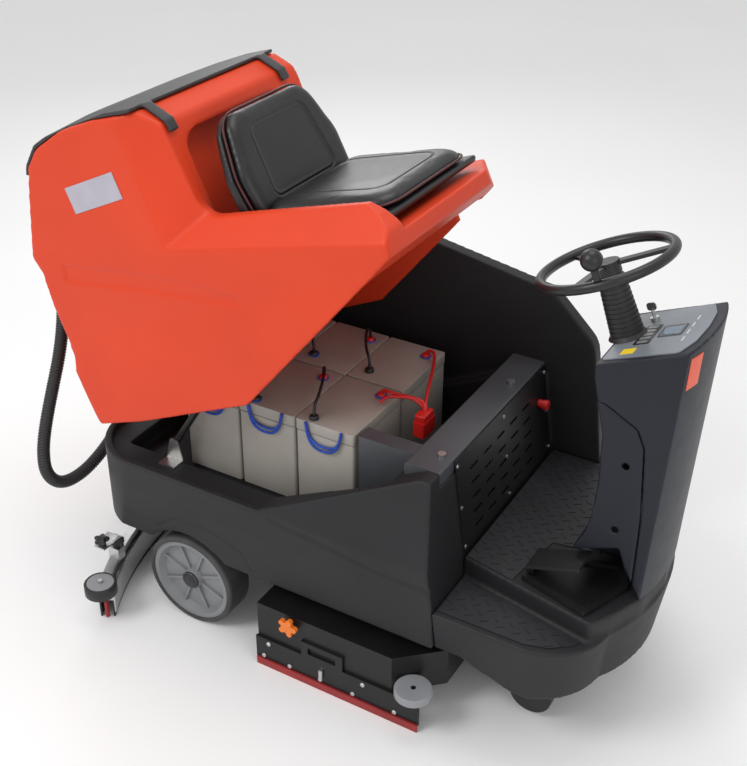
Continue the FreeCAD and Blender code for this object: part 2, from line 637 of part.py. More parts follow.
def make_louvre_panel():
    z0 = PLATFORM_Z + 6
    z1 = BEAM_TOP_Z - 6
    x0 = front_face_x(z0) + 0.6
    x1 = front_face_x(z1) + 0.6
    plate = prism_xz([(x0, z0), (x0 + 3, z0), (x1 + 3, z1), (x1, z1)], -214, 356)
    slot_w = 46.0
    for row in range(5):
        for column in range(5):
            z = 495 + row * 44
            y = -140 + column * 82
            x = front_face_x(z)
            plate = plate.cut(box(x - 12, x + 16, y, y + slot_w, z - 4, z + 4))
    plate = plate.cut(cyl((front_face_x(650) - 15, STOP_KNOB[0], STOP_KNOB[1]), 14, 40, (1, 0, 0)))
    return plate


def make_stop_knob():
    x = front_face_x(STOP_KNOB[1])
    y, z = STOP_KNOB
    stem = cyl((x - 26, y, z), 12, 46, (1, 0, 0))
    head = cyl((x + 18, y, z), 15, 13, (1, 0, 0))
    return fuse([stem, head])


def make_controller():
    case = box(248, 318, -160, 60, 468, 640)
    fins = [box(318, 330, -150 + i * 20, -144 + i * 20, 480, 630) for i in range(11)]
    return fuse([case] + fins)


def make_pump():
    motor = cyl((285, 100, 500), 30, 110, (0, 1, 0))
    head = box(255, 318, 208, 262, 468, 540)
    foot = box(262, 308, 120, 190, 465.5, 480)
    return fuse([motor, head, foot])


# ---------------------------------------------------------------- recovery tank, drawn closed
# Top of the tank's tower in side view, front to rear, and the lid that follows it.
TOWER_TOP = [(-118, 1265), (-165, 1317), (-300, 1337), (-420, 1341), (-535, 1321), (-594, 1283), (-612, 1252)]
LID_UNDER = [(-163, 1318), (-300, 1338), (-420.5, 1342), (-536, 1322), (-595, 1284), (-611, 1262)]
LID_OVER = [(-620, 1266), (-602, 1291), (-541, 1332), (-421, 1353), (-298, 1349), (-160, 1328)]
LID_PIN = (-630.0, 1262.0)
WELL_NEAR_Y = -240.0      # inner face of the one raised arm beside the seat


def tank_profile():
    return [(-742, 536), (-560, 523), (-147, 523.5), (372, 780), (432, 810), (440, 866), (412, 905), (378, 934),
            (-112, 1012)] + TOWER_TOP + [(-735, 1050), (-722, 995), (-738, 898), (-744, 735), (-776, 668),
                                         (-764, 580)]


def tank_section():
    return [(-372, 500), (-334, 790), (-322, 1400), (322, 1400), (334, 790), (352, 500)]


def half_space(point, first, second, size=1400.0):
    """Big block on the side of a plane that first x second points to."""
    u = V(*first).normalize()
    n = V(*first).cross(V(*second)).normalize()
    w = n.cross(u)
    block = Part.makeBox(size, size, size, V(-size / 2, -size / 2, 0))
    turn = FreeCAD.Placement(V(*point), FreeCAD.Rotation(u, w, n, "ZXY"))
    block.Placement = turn
    return block


def make_tank_body():
    radii = [18, 0, 12, 14, 10, 22, 14, 20, 60, 30, 16, 60, 60, 60, 14, 10, 26, 20, 60, 26, 20, 26]
    side_view = prism_xz(tank_profile(), -400, 400, radii)
    front_view = prism_yz(tank_section(), -800, 460)
    corner = 80.0
    plan = prism_xy([(-776.5, -372), (441, -372), (441, 190), (350, 352), (-776.5, 352)], 500, 1400,
                    [corner, 24, 60, 60, corner])
    tank = side_view.common(front_view).common(plan)
    # open underside over the batteries
    wide_under = prism_xz([(-722, 480), (362, 480), (362, 764), (-722, 764)], -357, 335, [0, 0, 30, 30])
    wide_under = wide_under.common(prism_yz([(-356, 480), (-319, 765), (319, 765), (334, 480)], -723, 363))
    tank = tank.cut(wide_under)
    # notch in the far wall that passes over the crossbeam when the tank is closed
    tank = tank.cut(box(BEAM_FRONT_X - BEAM_WIDTH - 10, BEAM_FRONT_X + 10, 290, 380, 480, BEAM_TOP_Z + 10))
    # seat well beside the raised arm
    tank = tank.cut(prism_xz([(460, 850), (-20, 884), (-117, 905), (-117, 1400), (460, 1400)], WELL_NEAR_Y, 400,
                             [0, 40, 40, 0, 0]))
    back_recess = prism_yz([(-215, 900), (235, 900), (235, 1225), (-215, 1225)], -260, -60, 60)
    back_recess = back_recess.common(prism_xz([(-150, 880), (0, 880), (0, 1300), (-185, 1300)], -300, 300))
    tank = tank.cut(back_recess)
    # wide chamfer that runs down the tower's near edge and along the arm
    tower_plane = half_space((-225, -327, 1000), (107, 52, 0), (0, 0, 1))
    arm_plane = half_space((288, -332, 873), (432, 0, -80), (0, 52, 60))
    probe = Part.Vertex(V(600, -600, 1300))
    for plane in (tower_plane, arm_plane):
        if plane.distToShape(probe)[0] > 1.0:
            print("CHECK chamfer plane faces the wrong way")
    tank = tank.cut(tower_plane.common(arm_plane))
    # water chamber
    chamber = prism_xz([(-700, 785), (-180, 785), (-230, 880), (-215, 1290), (-540, 1290), (-690, 1040)],
                       -290, 290, 20)
    tank = tank.cut(chamber)
    mouth = prism_xy([(-520, -210), (-240, -210), (-240, 210), (-520, 210)], 1280, 1360, 30)
    return tank.cut(mouth)


def make_recovery_tank():
    tank = TANK_BODY
    # lugs and pins that carry the lid
    px, pz = LID_PIN
    for side in (-1, 1):
        y0 = -272 if side < 0 else 253
        tank = tank.fuse(box(px - 6, -596, y0, y0 + 19, pz - 8, pz + 4))
        tank = tank.fuse(cyl((px, -255 if side < 0 else 200, pz), 3, 55, (0, 1, 0)))
    x, y, z = TANK_SPIGOT
    tank = tank.fuse(cyl((x, y, z), HOSE_D / 2 + 4, 50, (1, 0, 0)))
    tank = tank.cut(cyl((x - 1, y, z), HOSE_D / 2 - 4, 90, (1, 0, 0)))
    return opened(tank.removeSplitter())


def make_tank_lid():
    """Thin curved cover with two latch straps, on two knuckles at its rear edge."""
    cap = prism_xz(LID_UNDER + LID_OVER, -318, 318)
    plan = prism_xy([(-640, -318), (-150, -318), (-150, 318), (-640, 318)], 1200, 1400, 30)
    crown = prism_yz([(-320, 1200), (-320, 1341), (-200, 1352), (0, 1356), (200, 1352), (320, 1341),
                      (320, 1200)], -640, -140, [0, 8, 60, 60, 60, 8, 0])
    pieces = [cap.common(plan).common(crown)]
    for y0 in (-264, 234):
        pieces.append(prism_xz([(-185, 1326), (-160, 1330), (-106, 1270), (-103, 1238), (-112, 1238), (-114.5, 1264),
                                (-164, 1318.6), (-185, 1321.6)], y0, y0 + 34, [0, 12, 14, 0, 0, 10, 10, 0]))
    px, pz = LID_PIN
    for y0 in (-250, 200):
        pieces.append(cyl((px, y0, pz), 6, 50, (0, 1, 0)))
        pieces.append(prism_xz([(px - 4, pz + 2), (px + 4, pz + 2), (-612, 1266), (-612, 1276), (-624, 1274)],
                               y0, y0 + 50))
    lid = fuse(pieces)
    for clear in ((0, 0, 0.4), (0.4, 0, 0.2), (-0.4, 0, 0.2)):
        room = TANK_BODY.copy()
        room.translate(V(*clear))
        lid = lid.cut(room)
    for y0 in (-272.5, 252.5):
        lid = lid.cut(box(px - 10, -592, y0, y0 + 20, pz - 12, pz + 6))
    lid = max(lid.Solids, key=lambda solid: solid.Volume)
    return opened(lid.cut(cyl((px, -260, pz), 3.06, 520, (0, 1, 0))))


def make_tank_hinge():
    arms = []
    for side in (-1, 1):
        y0 = 178 if side > 0 else -190
        arm = prism_xz([(-842, 545), (-812, 538), (-776.6, 625), (-744.6, 734), (-744.6, 800), (-760, 800),
                        (-800, 660), (-842, 570)], y0, y0 + 12, [12, 12, 0, 0, 0, 6, 0, 12])
        arm = arm.cut(cyl((HINGE_X, y0 - 1, HINGE_Z), 8.05, 14, (0, 1, 0)))
        arms.append(arm)
    return arms


def make_vacuum_motor():
    can = cyl((-640, 60, 640), 72, 118, (0, 0, 1))
    top = cyl((-640, 60, 600), 50, 40, (0, 0, 1))
    foot = box(-715, -565, -10, 130, 757, 759.5)
    return opened(fuse([can, top, foot]))


# ---------------------------------------------------------------- seat, drawn with the tank closed
def make_seat_rail():
    """Two fixed rails standing on the seat well's floor."""
    rails = []
    for y in (-130, 100):
        rails.append(prism_xz([(50, 879.5), (330, 861.5), (330, 872), (50, 890)], y, y + 30))
    return opened(group(rails))


def make_seat():
    """One-piece pan with its runners, the back pad and the cushion."""
    runners = []
    for y in (-132, 98):
        runners.append(prism_xz([(60, 889.8), (340, 871.8), (340, 878), (60, 896)], y, y + 34))
    pan = prism_xz([(1, 897.5), (392, 872), (404, 884), (398, 892), (25, 927), (1, 946), (-27, 1222), (-43, 1222),
                    (-29, 927)], -229, 229, [30, 8, 6, 6, 20, 14, 6, 6, 30])
    shell = fuse([pan] + runners)
    cushion = prism_xz([(31, 928.4), (397, 892.6), (410, 898), (404, 914), (388, 922), (49, 988), (31, 988)],
                       -226, 226, [6, 4, 6, 8, 20, 20, 8])
    back = prism_xz([(1.4, 952), (21, 952), (31, 1002), (9, 1230), (-7, 1242), (-26.4, 1230)],
                    -226, 226, [6, 10, 30, 14, 8, 4])
    return opened(shell), opened(cushion), opened(back)


# ---------------------------------------------------------------- gas strut
STRUT_Y = -285.0
STRUT_FOOT = (-520.0, 545.0)
STRUT_HEAD = (-358.0, 797.0)


def strut_line():
    dx = STRUT_HEAD[0] - STRUT_FOOT[0]
    dz = STRUT_HEAD[1] - STRUT_FOOT[1]
    length = math.hypot(dx, dz)
    return V(dx / length, 0, dz / length), length


def make_strut():
    direction, length = strut_line()
    foot = V(STRUT_FOOT[0], STRUT_Y, STRUT_FOOT[1])
    eye = Part.makeCylinder(11, 10, foot - V(0, 5, 0), V(0, 1, 0))
    body = Part.makeCylinder(10, 150, foot + direction * 8, direction)
    body = body.cut(Part.makeCylinder(4.05, 120, foot + direction * 40, direction))
    eye = eye.cut(Part.makeCylinder(5.05, 12, foot - V(0, 6, 0), V(0, 1, 0)))
    cylinder = body.fuse(eye).cut(Part.makeCylinder(5.05, 12, foot - V(0, 6, 0), V(0, 1, 0)))
    head = foot + direction * length
    rod = Part.makeCylinder(4, length - 8 - 132, foot + direction * 132, direction)
    ball = Part.makeCylinder(9, 9, head - V(0, 4.5, 0), V(0, 1, 0))
    return cylinder, fuse([rod, ball])


def make_strut_foot():
    """Angle bracket on the well's side wall that carries the strut's lower pin."""
    upright = prism_xz([(-548, 465), (-492, 465), (-492, 500), (-508, 560), (-532, 560), (-548, 500)],
                       -300, -296, [0, 0, 10, 10, 10, 10])
    flange = box(-548, -492, -340, -300, RIM_Z - LIP, RIM_Z - LIP + 4)
    pin = cyl((STRUT_FOOT[0], -296, STRUT_FOOT[1]), 5, 18, (0, 1, 0))
    return fuse([upright, flange, pin])


def make_strut_head():
    """Block on the inside of the tank's side wall, left clear of the strut's end fitting."""
    closed = turned(Part.Vertex(V(STRUT_HEAD[0], 0, STRUT_HEAD[1])), (HINGE_X, 0, HINGE_Z), (0, -1, 0),
                    -OPEN_ANGLE).Point
    x, z = closed.x, closed.z

    def wall_y(height):
        return -357 + 35.0 * (height - 480) / 286.0

    block = prism_yz([(wall_y(z - 15), z - 15), (wall_y(z + 15), z + 15), (-292, z + 15), (-292, z - 15)],
                     x - 15, x + 15)
    return opened(block)


# ---------------------------------------------------------------- pedal
PEDAL_HINGE = (560.0, 478.0)


def make_pedal_housing():
    outline = [(547, -228), (742, -284), (800, -130), (762, -52), (556, -120)]
    frame = prism_xy(outline, PLATFORM_Z, PLATFORM_Z + 16, 8)
    inner = prism_xy([(560, -216), (735, -264), (782, -130), (752, -72), (566, -128)],
                     PLATFORM_Z + 5, PLATFORM_Z + 20, 6)
    tray = frame.cut(inner)
    ears = [box(552, 572, y, y + 5, PLATFORM_Z + 4, 483) for y in (-208, -152)]
    pin = cyl((PEDAL_HINGE[0], -208, PEDAL_HINGE[1]), 4, 61, (0, 1, 0))
    return fuse([tray, pin] + ears)


def make_pedal():
    plate = prism_xz([(556, 484), (700, 532), (697, 540), (553, 492)], -222, -138, 3)
    sleeve = cyl((PEDAL_HINGE[0], -200, PEDAL_HINGE[1]), 9, 45, (0, 1, 0))
    sleeve = sleeve.cut(cyl((PEDAL_HINGE[0], -201, PEDAL_HINGE[1]), 4.06, 47, (0, 1, 0)))
    web = prism_xz([(562, 484), (640, 512), (640, 500), (566, 480)], -184, -176)
    pedal = plate.fuse([sleeve, web])
    return pedal.cut(cyl((PEDAL_HINGE[0], -230, PEDAL_HINGE[1]), 4.06, 100, (0, 1, 0))).removeSplitter()


# ---------------------------------------------------------------- brush deck
def deck_outline(inset):
    """Plan of the deck, with its front corners cut off beside the rollers."""
    x0, x1 = DECK_X
    x0, x1, half = x0 + inset, x1 - inset, DECK_HALF_Y - inset
    return [(x0, -half), (x1 - 115, -half), (x1, -half + 106), (x1, half - 106), (x1 - 115, half), (x0, half)]


def roller_clearance(foot, radius, height):
    """Ring-shaped room for a roller about its pin."""
    x, y, z = foot
    room = cyl(foot, radius, height, (0, 0, 1))
    return room.cut(cyl((x, y, z - 1), 7, height + 2, (0, 0, 1)))


def make_deck():
    x0, x1 = DECK_X
    z0, z1 = DECK_Z
    wall = 6.0
    shell = prism_xy(deck_outline(0), z0, z1)
    shell = shell.cut(prism_xy(deck_outline(wall), z0 - 1, z1 - wall))
    mid_x = (x0 + x1) / 2.0
    motors = [cyl((mid_x, side * BRUSH_Y, z1 - 1), 62, 96, (0, 0, 1)) for side in (-1, 1)]
    rod = cyl((mid_x, 0, z1 - 1), 10, 150, (0, 0, 1))
    plates = []
    for side in (-1, 1):
        y0 = -DECK_HALF_Y - 8 if side < 0 else DECK_HALF_Y
        plate = box(x0 - 4, x1 - 28, y0, y0 + 8, 18, z0 + 3)
        tab = box(x0 + 150, x0 + 285, y0, y0 + 8, z0, 148)
        slot = box(x0 + 172, x0 + 262, y0 - 1, y0 + 9, z0 + 14, 132)
        plates.append(plate.fuse(tab).cut(slot))
        bracket_y = -DECK_HALF_Y - 16 if side < 0 else DECK_HALF_Y - 20
        plates.append(box(x1 - 90, x1 - 20, bracket_y, bracket_y + 36, 112, 122))
        plates.append(cyl((x1 - 46, side * (DECK_HALF_Y + 4), 118), 7, 32, (0, 0, 1)))
    deck = shell.fuse(motors + [rod] + plates)
    for side in (-1, 1):
        deck = deck.cut(roller_clearance((x1 - 46, side * (DECK_HALF_Y + 4), 122.4), 54.5, 29))
    return deck.removeSplitter()


def make_deck_blades():
    x0, x1 = DECK_X
    blades = []
    for side in (-1, 1):
        y0 = -DECK_HALF_Y - 14 if side < 0 else DECK_HALF_Y + 8.2
        blades.append(box(x0, x1 - 28, y0, y0 + 5.8, 0, 24))
    return group(blades)


def make_brush(side):
    mid_x = sum(DECK_X) / 2.0
    y = side * BRUSH_Y
    bristles = cyl((mid_x, y, 0), BRUSH_R, 58, (0, 0, 1))
    bristles = bristles.cut(cyl((mid_x, y, -1), 70, 50, (0, 0, 1)))
    block = cyl((mid_x, y, 58), BRUSH_R - 8, 18, (0, 0, 1))
    hub = cyl((mid_x, y, 70), 34, 138, (0, 0, 1))
    return fuse([bristles, block, hub])


def make_deck_roller(side):
    x = DECK_X[1] - 46
    y = side * (DECK_HALF_Y + 4)
    roller = cyl((x, y, 124), 52, 25, (0, 0, 1))
    roller = roller.makeFillet(5, [e for e in roller.Edges if isinstance(e.Curve, Part.Circle)])
    return roller.cut(cyl((x, y, 120), 7.06, 40, (0, 0, 1)))


def star(centre, axis, radius, thick, points=5):
    """Star grip with rounded lobes, drawn around axis."""
    pieces = [Part.makeCylinder(radius * 0.62, thick, V(0, 0, 0))]
    for i in range(points):
        a = 2 * math.pi * i / points
        place = V(radius * 0.72 * math.cos(a), radius * 0.72 * math.sin(a), 0)
        pieces.append(Part.makeCylinder(radius * 0.28, thick, place))
    pieces.append(Part.makeCylinder(radius * 0.3, thick + 8, V(0, 0, -8)))
    knob = fuse(pieces)
    turn = FreeCAD.Rotation(V(0, 0, 1), V(*axis))
    knob.rotate(V(0, 0, 0), turn.Axis, math.degrees(turn.Angle))
    knob.translate(V(*centre))
    return knob


def make_actuator():
    mid_x = sum(DECK_X) / 2.0
    body = cyl((mid_x, 0, 292), 25, 130, (0, 0, 1))
    flange = cyl((mid_x, 0, 308.2), 42, 8, (0, 0, 1))
    return body.fuse(flange).cut(cyl((mid_x, 0, 280), 10.06, 136, (0, 0, 1))).removeSplitter()


# ---------------------------------------------------------------- squeegee
def arc_band(tip, back_x, inner, outer, z0, z1):
    """Curved bar in plan between two offsets of the squeegee's arc."""
    half = tip[1]
    sag = tip[0] - back_x
    radius = (half * half + sag * sag) / (2.0 * sag)
    centre = V(back_x + radius, 0, 0)
    angle = math.asin(half / radius)

    def point(r, a, z):
        return V(centre.x - r * math.cos(a), r * math.sin(a), z)

    rings = []
    for offset in (inner, outer):
        r = radius - offset
        rings.append((point(r, -angle, z0), point(r, 0, z0), point(r, angle, z0)))
    a = Part.Arc(rings[0][0], rings[0][1], rings[0][2]).toShape()
    b = Part.Arc(rings[1][0], rings[1][1], rings[1][2]).toShape()
    ends = [Part.makeLine(rings[0][2], rings[1][2]), Part.makeLine(rings[1][0], rings[0][0])]
    return Part.Face(Part.Wire([a, ends[0], b, ends[1]])).extrude(V(0, 0, z1 - z0))


def make_squeegee():
    channel = arc_band(SQUEEGEE_TIP, SQUEEGEE_BACK_X, -26, 26, 62, 96)
    top = arc_band(SQUEEGEE_TIP, SQUEEGEE_BACK_X, -14, 14, 90, 126)
    port = cyl((SQUEEGEE_BACK_X, 0, 120), 26, 60, (0, 0, 1))
    port = port.cut(cyl((SQUEEGEE_BACK_X, 0, 121), 20, 70, (0, 0, 1)))
    skirt = arc_band(SQUEEGEE_TIP, SQUEEGEE_BACK_X, 22.3, 26, 16, 70)
    pieces = [channel, top, port, skirt]
    for side in (-1, 1):
        tip_y = side * (SQUEEGEE_TIP[1] + 14)
        pieces.append(box(SQUEEGEE_TIP[0] - 18, SQUEEGEE_TIP[0] + 18, min(side * 500, tip_y + side * 8),
                          max(side * 500, tip_y + side * 8), 90, 100))
        pieces.append(cyl((SQUEEGEE_TIP[0], tip_y, 99), 7, 52, (0, 0, 1)))
        pieces.append(box(-726, -686, side * 395 - 14, side * 395 + 14, 120, 160))
    blades = [arc_band(SQUEEGEE_TIP, SQUEEGEE_BACK_X, a, a + 5, 0, 61.8) for a in (-22, 17)]
    body = fuse(pieces)
    for side in (-1, 1):
        body = body.cut(roller_clearance((SQUEEGEE_TIP[0], side * (SQUEEGEE_TIP[1] + 14), 102), ROLLER_R + 2.5, 42))
    return body, group(blades)


def make_squeegee_roller(side):
    x = SQUEEGEE_TIP[0]
    y = side * (SQUEEGEE_TIP[1] + 14)
    roller = cyl((x, y, 104), ROLLER_R, 38, (0, 0, 1))
    roller = roller.makeFillet(6, [e for e in roller.Edges if isinstance(e.Curve, Part.Circle)])
    return roller.cut(cyl((x, y, 100), 7.06, 50, (0, 0, 1)))


def make_squeegee_arm():
    px, pz = SQUEEGEE_PIVOT
    pieces = []
    for y0 in (-58, 46):
        pieces.append(prism_xz([(px - 10, pz - 15), (px + 14, pz - 15), (px + 14, pz + 15), (px - 10, pz + 15),
                                (-770, 168), (-804, 150), (-804, 126), (-770, 126)], y0, y0 + 12,
                               [10, 12, 12, 10, 20, 10, 0, 10]))
    pieces.append(box(-804, -772, -46, -27, 126, 136))
    pieces.append(box(-804, -772, 27, 46, 126, 136))
    pieces.append(box(-640, -628, -46, 46, 180, 200))
    arm = fuse(pieces)
    return arm.cut(cyl((px, -90, pz), 8.06, 180, (0, 1, 0)))


# ---------------------------------------------------------------- hose
def make_hose():
    """Hose from the tank's spigot, down in a loop behind the body, to the body's spigot."""
    mouth = opened(Part.Vertex(V(*TANK_SPIGOT))).Point
    route = [tuple(mouth), (-980, -206, 869), (-979, -218, 790), (-978, -252, 690), (-972, -305, 600),
             (-965, -358, 510), (-957, -398, 425), (-948, -408, 345), (-938, -362, 285), (-922, -282, 285),
             (-910, -190, 325), (-903, -118, 380), BODY_SPIGOT]
    return tube(route, HOSE_D, "suction_hose"), route


# ---------------------------------------------------------------- fasteners
def make_fasteners():
    bolts = []
    for x, y in ((300, -215), (300, 205)):
        bolts.append(cyl((x, y, BEAM_TOP_Z), 11, 8, (0, 0, 1)))
        bolts.append(cyl((x, y, BEAM_TOP_Z - BEAM_THICK + 2), 5, BEAM_THICK - 1, (0, 0, 1)))
    screws = []
    for y in (-206, 70, 346):
        for z in (470, 590, 715):
            screws.append(cyl((front_face_x(z) + 3.7, y, z), 6, 3, (1, 0, 0)))
    return group([bolts[0].fuse(bolts[1]), bolts[2].fuse(bolts[3])] + screws)


# ---------------------------------------------------------------- assembly
PARTS["lower_body"] = make_lower_body()
PARTS["front_base"] = make_front_base()
PARTS["platform_mat"] = make_platform_mat()
PARTS["step_mat"] = make_step_mat()
PARTS["console_shell"], PARTS["console_rear_cover"] = make_console()
PARTS["control_panel"] = make_control_panel()
PARTS["key"] = make_key()
PARTS["steering_boot"] = make_steering_boot()
PARTS["steering_wheel"] = make_steering_wheel()
PARTS["spinner_knob"], knob_foot = make_spinner_knob()
PARTS["chassis_frame"] = make_chassis()
PARTS["rear_tyre_right"], PARTS["rear_hub_right"] = make_rear_wheel(-1)
PARTS["rear_tyre_left"], PARTS["rear_hub_left"] = make_rear_wheel(1)
PARTS["drive_fork"], PARTS["drive_wheel"] = make_drive_unit()
PARTS["anti_tip_rollers"] = group(make_anti_tip_rollers())
PARTS["batteries_right_row"] = group([make_battery(battery_x(i), BAT_ROWS[0]) for i in range(3)])
PARTS["batteries_left_row"] = group([make_battery(battery_x(i), BAT_ROWS[1]) for i in range(3)])
PARTS["terminal_caps"] = make_terminal_caps()
PARTS["jumper_cables"] = make_jumper_cables()
PARTS["rope_handles"] = make_rope_handles()
PARTS["battery_connector"] = make_battery_connector()
PARTS["crossbeam"] = make_crossbeam()
PARTS["louvre_panel"] = make_louvre_panel()
PARTS["stop_knob"] = make_stop_knob()
PARTS["body_fasteners"] = make_fasteners()
PARTS["motor_controller"] = make_controller()
PARTS["solution_pump"] = make_pump()
TANK_BODY = make_tank_body()
PARTS["recovery_tank"] = make_recovery_tank()
PARTS["tank_lid"] = make_tank_lid()
PARTS["tank_hinge_arms"] = opened(group(make_tank_hinge()))
PARTS["vacuum_motor"] = make_vacuum_motor()
PARTS["seat_rail"] = make_seat_rail()
PARTS["seat_shell"], PARTS["seat_cushion"], PARTS["seat_back_pad"] = make_seat()
PARTS["strut_cylinder"], PARTS["strut_rod"] = make_strut()
PARTS["strut_foot"] = make_strut_foot()
PARTS["strut_head"] = make_strut_head()
PARTS["pedal_housing"] = make_pedal_housing()
PARTS["accelerator_pedal"] = make_pedal()
PARTS["brush_deck"] = make_deck()
PARTS["deck_blades"] = make_deck_blades()
PARTS["deck_actuator"] = make_actuator()
PARTS["deck_knob"] = star((-35, -DECK_HALF_Y - 12, 190), (0, -1, 0), 30, 12)
PARTS["squeegee_body"], PARTS["squeegee_blades"] = make_squeegee()
PARTS["squeegee_arm"] = make_squeegee_arm()
PARTS["squeegee_knob"] = star((-700, -395, 170), (0, 0, 1), 24, 14)
for tag, hand in (("right", -1), ("left", 1)):
    PARTS["brush_" + tag] = make_brush(hand)
    PARTS["deck_roller_" + tag] = make_deck_roller(hand)
    PARTS["squeegee_roller_" + tag] = make_squeegee_roller(hand)
PARTS["suction_hose"], hose_route = make_hose()

# ---------------------------------------------------------------- pieces let into their carriers
LET_IN = [("lower_body", "chassis_frame"), ("lower_body", "crossbeam"), ("console_shell", "control_panel"),
          ("platform_mat", "console_rear_cover"), ("recovery_tank", "strut_head"), ("recovery_tank", "vacuum_motor"),
          ("recovery_tank", "tank_hinge_arms"), ("louvre_panel", "body_fasteners"),
          ("lower_body", "suction_hose"), ("recovery_tank", "suction_hose")]
for carrier, piece in LET_IN:
    carved = PARTS[carrier].cut(PARTS[piece])
    PARTS[carrier] = group([solid for solid in carved.Solids if solid.Volume > 300.0])

# ---------------------------------------------------------------- origin and export
# The origin is the middle of the footprint, on the floor, without the free hose.
limits = FreeCAD.BoundBox()
for name, shape in PARTS.items():
    if name != "suction_hose":
        limits.add(shape.optimalBoundingBox(False, False))
shift = V(-(limits.XMin + limits.XMax) / 2.0, -(limits.YMin + limits.YMax) / 2.0, 0)
print("shift", shift, "box", limits)
print("knob foot", knob_foot + shift, "hose", [tuple(round(c / 1000.0, 4) for c in (V(*p) + shift)) for p in hose_route])
for name, shape in PARTS.items():
    moved = shape.copy()
    moved.translate(shift)
    if not moved.isValid() or moved.Volume <= 0:
        print("CHECK", name, moved.isValid(), moved.Volume)
    moved.exportStep("parts/" + name + ".step")
print("nodes", len(PARTS))
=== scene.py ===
import json
import math

import bmesh
import bpy
import numpy as np
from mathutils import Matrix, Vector


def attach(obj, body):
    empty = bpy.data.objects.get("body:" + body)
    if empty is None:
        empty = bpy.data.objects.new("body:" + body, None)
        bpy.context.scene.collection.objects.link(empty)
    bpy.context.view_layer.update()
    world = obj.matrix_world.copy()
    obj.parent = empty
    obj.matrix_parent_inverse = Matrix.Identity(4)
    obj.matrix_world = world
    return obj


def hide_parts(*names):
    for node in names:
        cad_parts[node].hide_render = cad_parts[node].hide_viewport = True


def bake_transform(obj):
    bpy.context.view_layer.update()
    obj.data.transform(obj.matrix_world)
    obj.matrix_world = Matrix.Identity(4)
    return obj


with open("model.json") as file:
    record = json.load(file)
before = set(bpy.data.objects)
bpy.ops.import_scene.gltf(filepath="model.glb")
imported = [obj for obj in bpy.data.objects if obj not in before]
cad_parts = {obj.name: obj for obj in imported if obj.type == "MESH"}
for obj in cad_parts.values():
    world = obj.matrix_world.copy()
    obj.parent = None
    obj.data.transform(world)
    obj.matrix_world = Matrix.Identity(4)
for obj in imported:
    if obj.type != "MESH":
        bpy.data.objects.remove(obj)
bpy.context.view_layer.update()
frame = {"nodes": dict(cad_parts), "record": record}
NODES = frame["nodes"]

# Drawing frame in millimetres: +X forward, +Y left, +Z up, shifted along X to the row's origin.
MM = 0.001
SHIFT_X = 0.03097
HINGE = (-825.0, 555.0)
OPEN = math.radians(25.0)


def at(x, y, z):
    """A point of the drawing frame, in metres in the row's frame."""
    return Vector((x * MM + SHIFT_X, y * MM, z * MM))


def opened(x, y, z):
    """A point drawn with the tank closed, taken to the tank's open place."""
    rx, rz = x - HINGE[0], z - HINGE[1]
    c, s = math.cos(OPEN), math.sin(OPEN)
    return at(HINGE[0] + rx * c - rz * s, y, HINGE[1] + rx * s + rz * c)


# ------------------------------------------------------------------ materials
def new_material(name):
    material = bpy.data.materials.new(name)
    material.use_nodes = True
    return material, material.node_tree, material.node_tree.nodes["Principled BSDF"]


def noise(tree, scale, detail=3.0, stretch=None, kind="ShaderNodeTexNoise"):
    coords = tree.nodes.new("ShaderNodeTexCoord")
    tex = tree.nodes.new(kind)
    tex.inputs["Scale"].default_value = scale
    if kind == "ShaderNodeTexNoise":
        tex.inputs["Detail"].default_value = detail
    if stretch:
        mapping = tree.nodes.new("ShaderNodeMapping")
        mapping.inputs["Scale"].default_value = stretch
        tree.links.new(coords.outputs["Object"], mapping.inputs["Vector"])
        tree.links.new(mapping.outputs["Vector"], tex.inputs["Vector"])
    else:
        tree.links.new(coords.outputs["Object"], tex.inputs["Vector"])
    return tex


def ramp(tree, source, low, high, start=0.3, end=0.7):
    node = tree.nodes.new("ShaderNodeValToRGB")
    node.color_ramp.elements[0].position = start
    node.color_ramp.elements[1].position = end
    node.color_ramp.elements[0].color = (*low, 1)
    node.color_ramp.elements[1].color = (*high, 1)
    tree.links.new(source, node.inputs["Fac"])
    return node


def scaled(colour, factor):
    return tuple(min(1.0, c * factor) for c in colour)


def surface(name, colour, rough, vary=0.1, vary_scale=5.0, grain=0.2, grain_scale=500.0, depth=0.0004,
            metallic=0.0, stretch=None, coat=0.0, specular=0.5, rough_vary=0.06, cells=False, sheen=0.0):
    """A surface with mottled colour, uneven gloss and a fine grain."""
    material, tree, shader = new_material(name)
    mottled = noise(tree, vary_scale, 4.0)
    colours = ramp(tree, mottled.outputs["Fac"], scaled(colour, 1 - vary), scaled(colour, 1 + vary))
    tree.links.new(colours.outputs["Color"], shader.inputs["Base Color"])
    gloss = noise(tree, vary_scale * 6.0, 5.0, stretch)
    spread = tree.nodes.new("ShaderNodeMapRange")
    spread.inputs["To Min"].default_value = rough - rough_vary
    spread.inputs["To Max"].default_value = rough + rough_vary
    tree.links.new(gloss.outputs["Fac"], spread.inputs["Value"])
    tree.links.new(spread.outputs["Result"], shader.inputs["Roughness"])
    if cells:
        fine = noise(tree, grain_scale, kind="ShaderNodeTexVoronoi")
        height = fine.outputs["Distance"]
    else:
        fine = noise(tree, grain_scale, 2.0, stretch)
        height = fine.outputs["Fac"]
    bump = tree.nodes.new("ShaderNodeBump")
    bump.inputs["Strength"].default_value = grain
    bump.inputs["Distance"].default_value = depth
    tree.links.new(height, bump.inputs["Height"])
    tree.links.new(bump.outputs["Normal"], shader.inputs["Normal"])
    shader.inputs["Metallic"].default_value = metallic
    shader.inputs["Coat Weight"].default_value = coat
    shader.inputs["Specular IOR Level"].default_value = specular
    shader.inputs["Sheen Weight"].default_value = sheen
    return material


